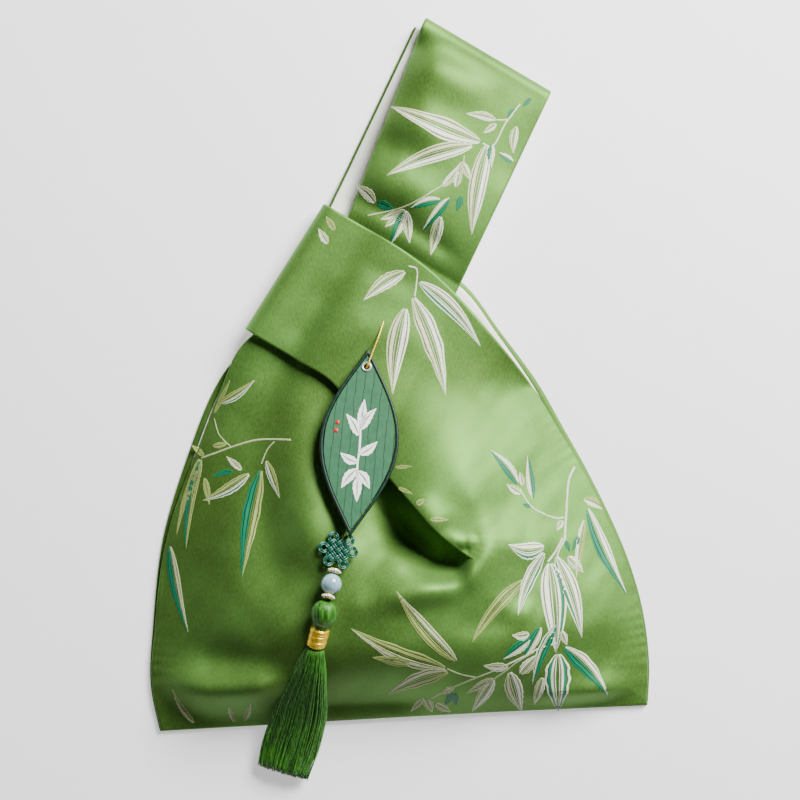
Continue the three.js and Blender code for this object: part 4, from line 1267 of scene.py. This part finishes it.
def add_strand():
    first = JOINT_GAP + RING_THICK / 2
    bead_at = first + RING_THICK / 2 + JOINT_GAP + BEAD_RADIUS
    last = bead_at + BEAD_RADIUS + JOINT_GAP + RING_THICK / 2
    length = last + RING_THICK / 2 + JOINT_GAP
    gold = gold_look("ring_gold", (0.62, 0.45, 0.14), (0.98, 0.82, 0.42), 900)
    stone = Look("stone_clear", **{"Coat Weight": 1.0, "Coat Roughness": 0.03, "Specular IOR Level": 0.8})
    stone.color(stone.ramp(stone.noise(1500, 2), (0.3, (0.7, 0.74, 0.62)), (0.7, (0.95, 0.96, 0.88))))
    stone.roughness(stone.between(stone.noise(2500, 1), 0.05, 0.15))
    for body, node, distance in (("upper_ring", "ring_upper", first), ("lower_ring", "ring_lower", last)):
        at = STRAND_TOP + STRAND_DIRECTION * distance
        rigid(node + "_band", [ring_parts(at, STRAND_DIRECTION)], gold, body, node)
        rigid(node + "_stones", stone_parts(at, STRAND_DIRECTION), stone.material, body)

    glass = Look("bead_blue", **{
        "Coat Weight": 1.0, "Coat Roughness": 0.04, "Subsurface Weight": 0.25, "Subsurface Scale": 0.002,
        "Subsurface Radius": (1.0, 1.0, 1.0),
    })
    cloud = glass.noise(260, 4)
    glass.color(glass.ramp(cloud, (0.3, (0.20, 0.36, 0.42)), (0.7, (0.36, 0.52, 0.57))))
    glass.roughness(glass.between(cloud, 0.08, 0.16))
    mouth = math.asin(BORE_RADIUS / BEAD_RADIUS)
    bend = np.linspace(-np.pi / 2 + mouth, np.pi / 2 - mouth, 31)
    ball = np.stack([BEAD_RADIUS * np.cos(bend), BEAD_RADIUS * np.sin(bend)], axis=1)
    at = STRAND_TOP + STRAND_DIRECTION * bead_at
    solid = turned([*ball, ball[0]], at, STRAND_DIRECTION, 64)
    rigid("round_bead", [solid], glass.material, "strand_bead", "bead")

    steps = np.linspace(0, length, 60)[:, None]
    core = STRAND_TOP + steps * STRAND_DIRECTION
    look = strands_look("core_cord", (0.0, 0.06, 0.04), (0.01, 0.14, 0.10), 0.6)
    rigid("strand_cord", [tube(core, CORE_RADIUS, 12, 2.2, 0.25)], look, "strand", "core_cord")
    return STRAND_TOP + STRAND_DIRECTION * (length + HEAD_PLAY)


SILK_DARK = (0.006, 0.04, 0.003)
SILK_LIGHT = (0.06, 0.25, 0.02)
HEAD_STRANDS = 46


def add_tassel(top):
    silk = strands_look("silk_green", SILK_DARK, SILK_LIGHT)
    side, other, along = basis_along(TASSEL_DIRECTION)
    t = np.linspace(0, 1, 34)
    bulb = np.sin(np.pi * np.minimum(t * 0.9 + 0.04, 1) ** 0.9) ** 0.55
    radius = np.maximum((HEAD_RADIUS - 0.35) * bulb, np.where(t > 0.5, WRAP_RADIUS - 0.7, 0.5))
    radius[0], radius[-1] = 0.9, WRAP_RADIUS - 1.2
    sides = HEAD_STRANDS * 5
    angle = np.linspace(0, 2 * np.pi, sides, endpoint=False)
    wander = 0.05 * np.sin(angle[None, :] * 3 + t[:, None] * 4)
    groove = 0.2 * np.abs(np.sin((angle[None, :] + wander) * HEAD_STRANDS / 2)) ** 0.6 * bulb[:, None]
    r = (radius[:, None] + groove)[..., None]
    grid = top + r * (np.cos(angle)[None, :, None] * side + np.sin(angle)[None, :, None] * other)
    grid = grid + (t * HEAD_LENGTH)[:, None, None] * along
    ends = np.array([top + along * 0.3, top + along * (HEAD_LENGTH - 0.2)])
    points = np.concatenate([grid.reshape(-1, 3), ends])
    quads = np.concatenate([grid_quads(len(t), sides, closed=True), end_fans(len(t), sides)])[:, ::-1]
    rigid("tassel_bulb", [(points, quads)], silk, "tassel", "tassel_head")

    turns = 9
    s = np.linspace(0, 1, turns * 30)
    gold = gold_look("wrap_gold", (0.85, 0.50, 0.02), (1.0, 0.74, 0.06), 1200)
    start = top + TASSEL_DIRECTION * (HEAD_LENGTH + JOINT_GAP)
    spin = 2 * np.pi * turns * s
    climb = 0.75 + (WRAP_LENGTH - 1.5) * (s + 0.012 * np.sin(spin * 0.37))
    out = WRAP_RADIUS - 0.68 + 0.08 * np.sin(spin * 0.71)
    coil = start + (out * np.cos(spin))[:, None] * side + (out * np.sin(spin))[:, None] * other
    coil = coil + climb[:, None] * along
    low, high, wide = 0.3, WRAP_LENGTH - 0.3, WRAP_RADIUS - 0.9
    core = [(0.4, low), (wide, low), (wide, high), (0.4, high), (0.4, low)]
    parts = [tube(coil, 0.66, 8), turned(core, start, TASSEL_DIRECTION, 32)]
    rigid("tassel_binding", parts, gold, "tassel", "tassel_wrap")
    add_skirt(silk)


SKIRT_STRANDS = 620
GOLDEN_ANGLE = 2.39996
STRAND_RADIUS = 0.3


def add_skirt(silk):
    """Loose silk strands that spread from the binding and lie down over the bag's lower edge.

    Over the full part of the bag they run up to 6.4 mm below the cloth's surface at rest.
    """
    centres = np.array([at for at, _, _ in SKIRT], float)
    wide = np.array([w for _, w, _ in SKIRT])
    thick = np.array([h for _, _, h in SKIRT])
    parts = []
    for k in range(SKIRT_STRANDS):
        reach = math.sqrt((k + 0.5) / SKIRT_STRANDS)
        turn = k * GOLDEN_ANGLE + random.normal(0, 0.08)
        end = 1 - abs(random.normal(0, 0.012)) - 0.02 * (1 - reach)
        t = np.linspace(0, end, 20)
        drift = random.normal(0, 0.035) * t * np.sin(np.pi * t * random.uniform(0.8, 1.8))
        curl = 0.03 * np.sin(t * random.uniform(4, 9) + random.uniform(0, 6)) * t
        middle = spline(centres, t)
        ahead = np.gradient(middle, axis=0)
        ahead /= np.linalg.norm(ahead, axis=1, keepdims=True)
        across = np.cross(ahead, (0, 0, 1))
        across /= np.linalg.norm(across, axis=1, keepdims=True)
        lift = np.cross(across, ahead)
        w = spline(wide[:, None], t)[:, 0] * (reach * math.cos(turn) + drift + curl)
        h = spline(thick[:, None], t)[:, 0] * np.clip(reach * math.sin(turn), -0.9, 0.94)
        line = middle + w[:, None] * across + h[:, None] * lift
        line[:, 2] = np.maximum(line[:, 2], STRAND_RADIUS + 0.05)
        taper = STRAND_RADIUS * (1 - 0.35 * t**6)
        parts.append(tube(line, taper, 4))
    rigid("tassel_strands", parts, silk, "tassel", "tassel_skirt")


add_thread()
add_tag()
add_print()
add_charm()
add_tassel(add_strand())

# ---- Floor and light ----

FLOOR_SIZE = 6.0
SKY_STRENGTH = 0.07
KEY_PLACE = (0.6, 0.74, 0.72)
KEY_SIZE = 0.6
KEY_POWER = 54


def add_floor():
    look = Look("floor_pale", roughness=0.85)
    look.color(look.ramp(look.noise(30, 3), (0.3, (0.86, 0.86, 0.86)), (0.7, (0.88, 0.88, 0.88))))
    look.set(look.shader, {"Emission Color": (1, 1, 1, 1), "Emission Strength": 0.6})
    bpy.ops.mesh.primitive_plane_add(size=FLOOR_SIZE, location=(0, 0, -0.0005))
    floor = bpy.context.object
    floor.name = "floor"
    floor.data.materials.append(look.material)


def add_light(name, place, size, power):
    data = bpy.data.lights.new(name, "AREA")
    data.size = size
    data.energy = power
    lamp = bpy.data.objects.new(name, data)
    lamp.location = place
    lamp.rotation_euler = (Vector((0, 0, 0.02)) - Vector(place)).to_track_quat("-Z", "Y").to_euler()
    bpy.context.scene.collection.objects.link(lamp)


def add_world(strength):
    sky = bpy.data.worlds.new("soft_studio")
    sky.use_nodes = True
    background = sky.node_tree.nodes["Background"]
    background.inputs["Color"].default_value = (1, 1, 1, 1)
    background.inputs["Strength"].default_value = strength
    bpy.context.scene.world = sky


add_floor()
add_world(SKY_STRENGTH)
add_light("key", KEY_PLACE, KEY_SIZE, KEY_POWER)
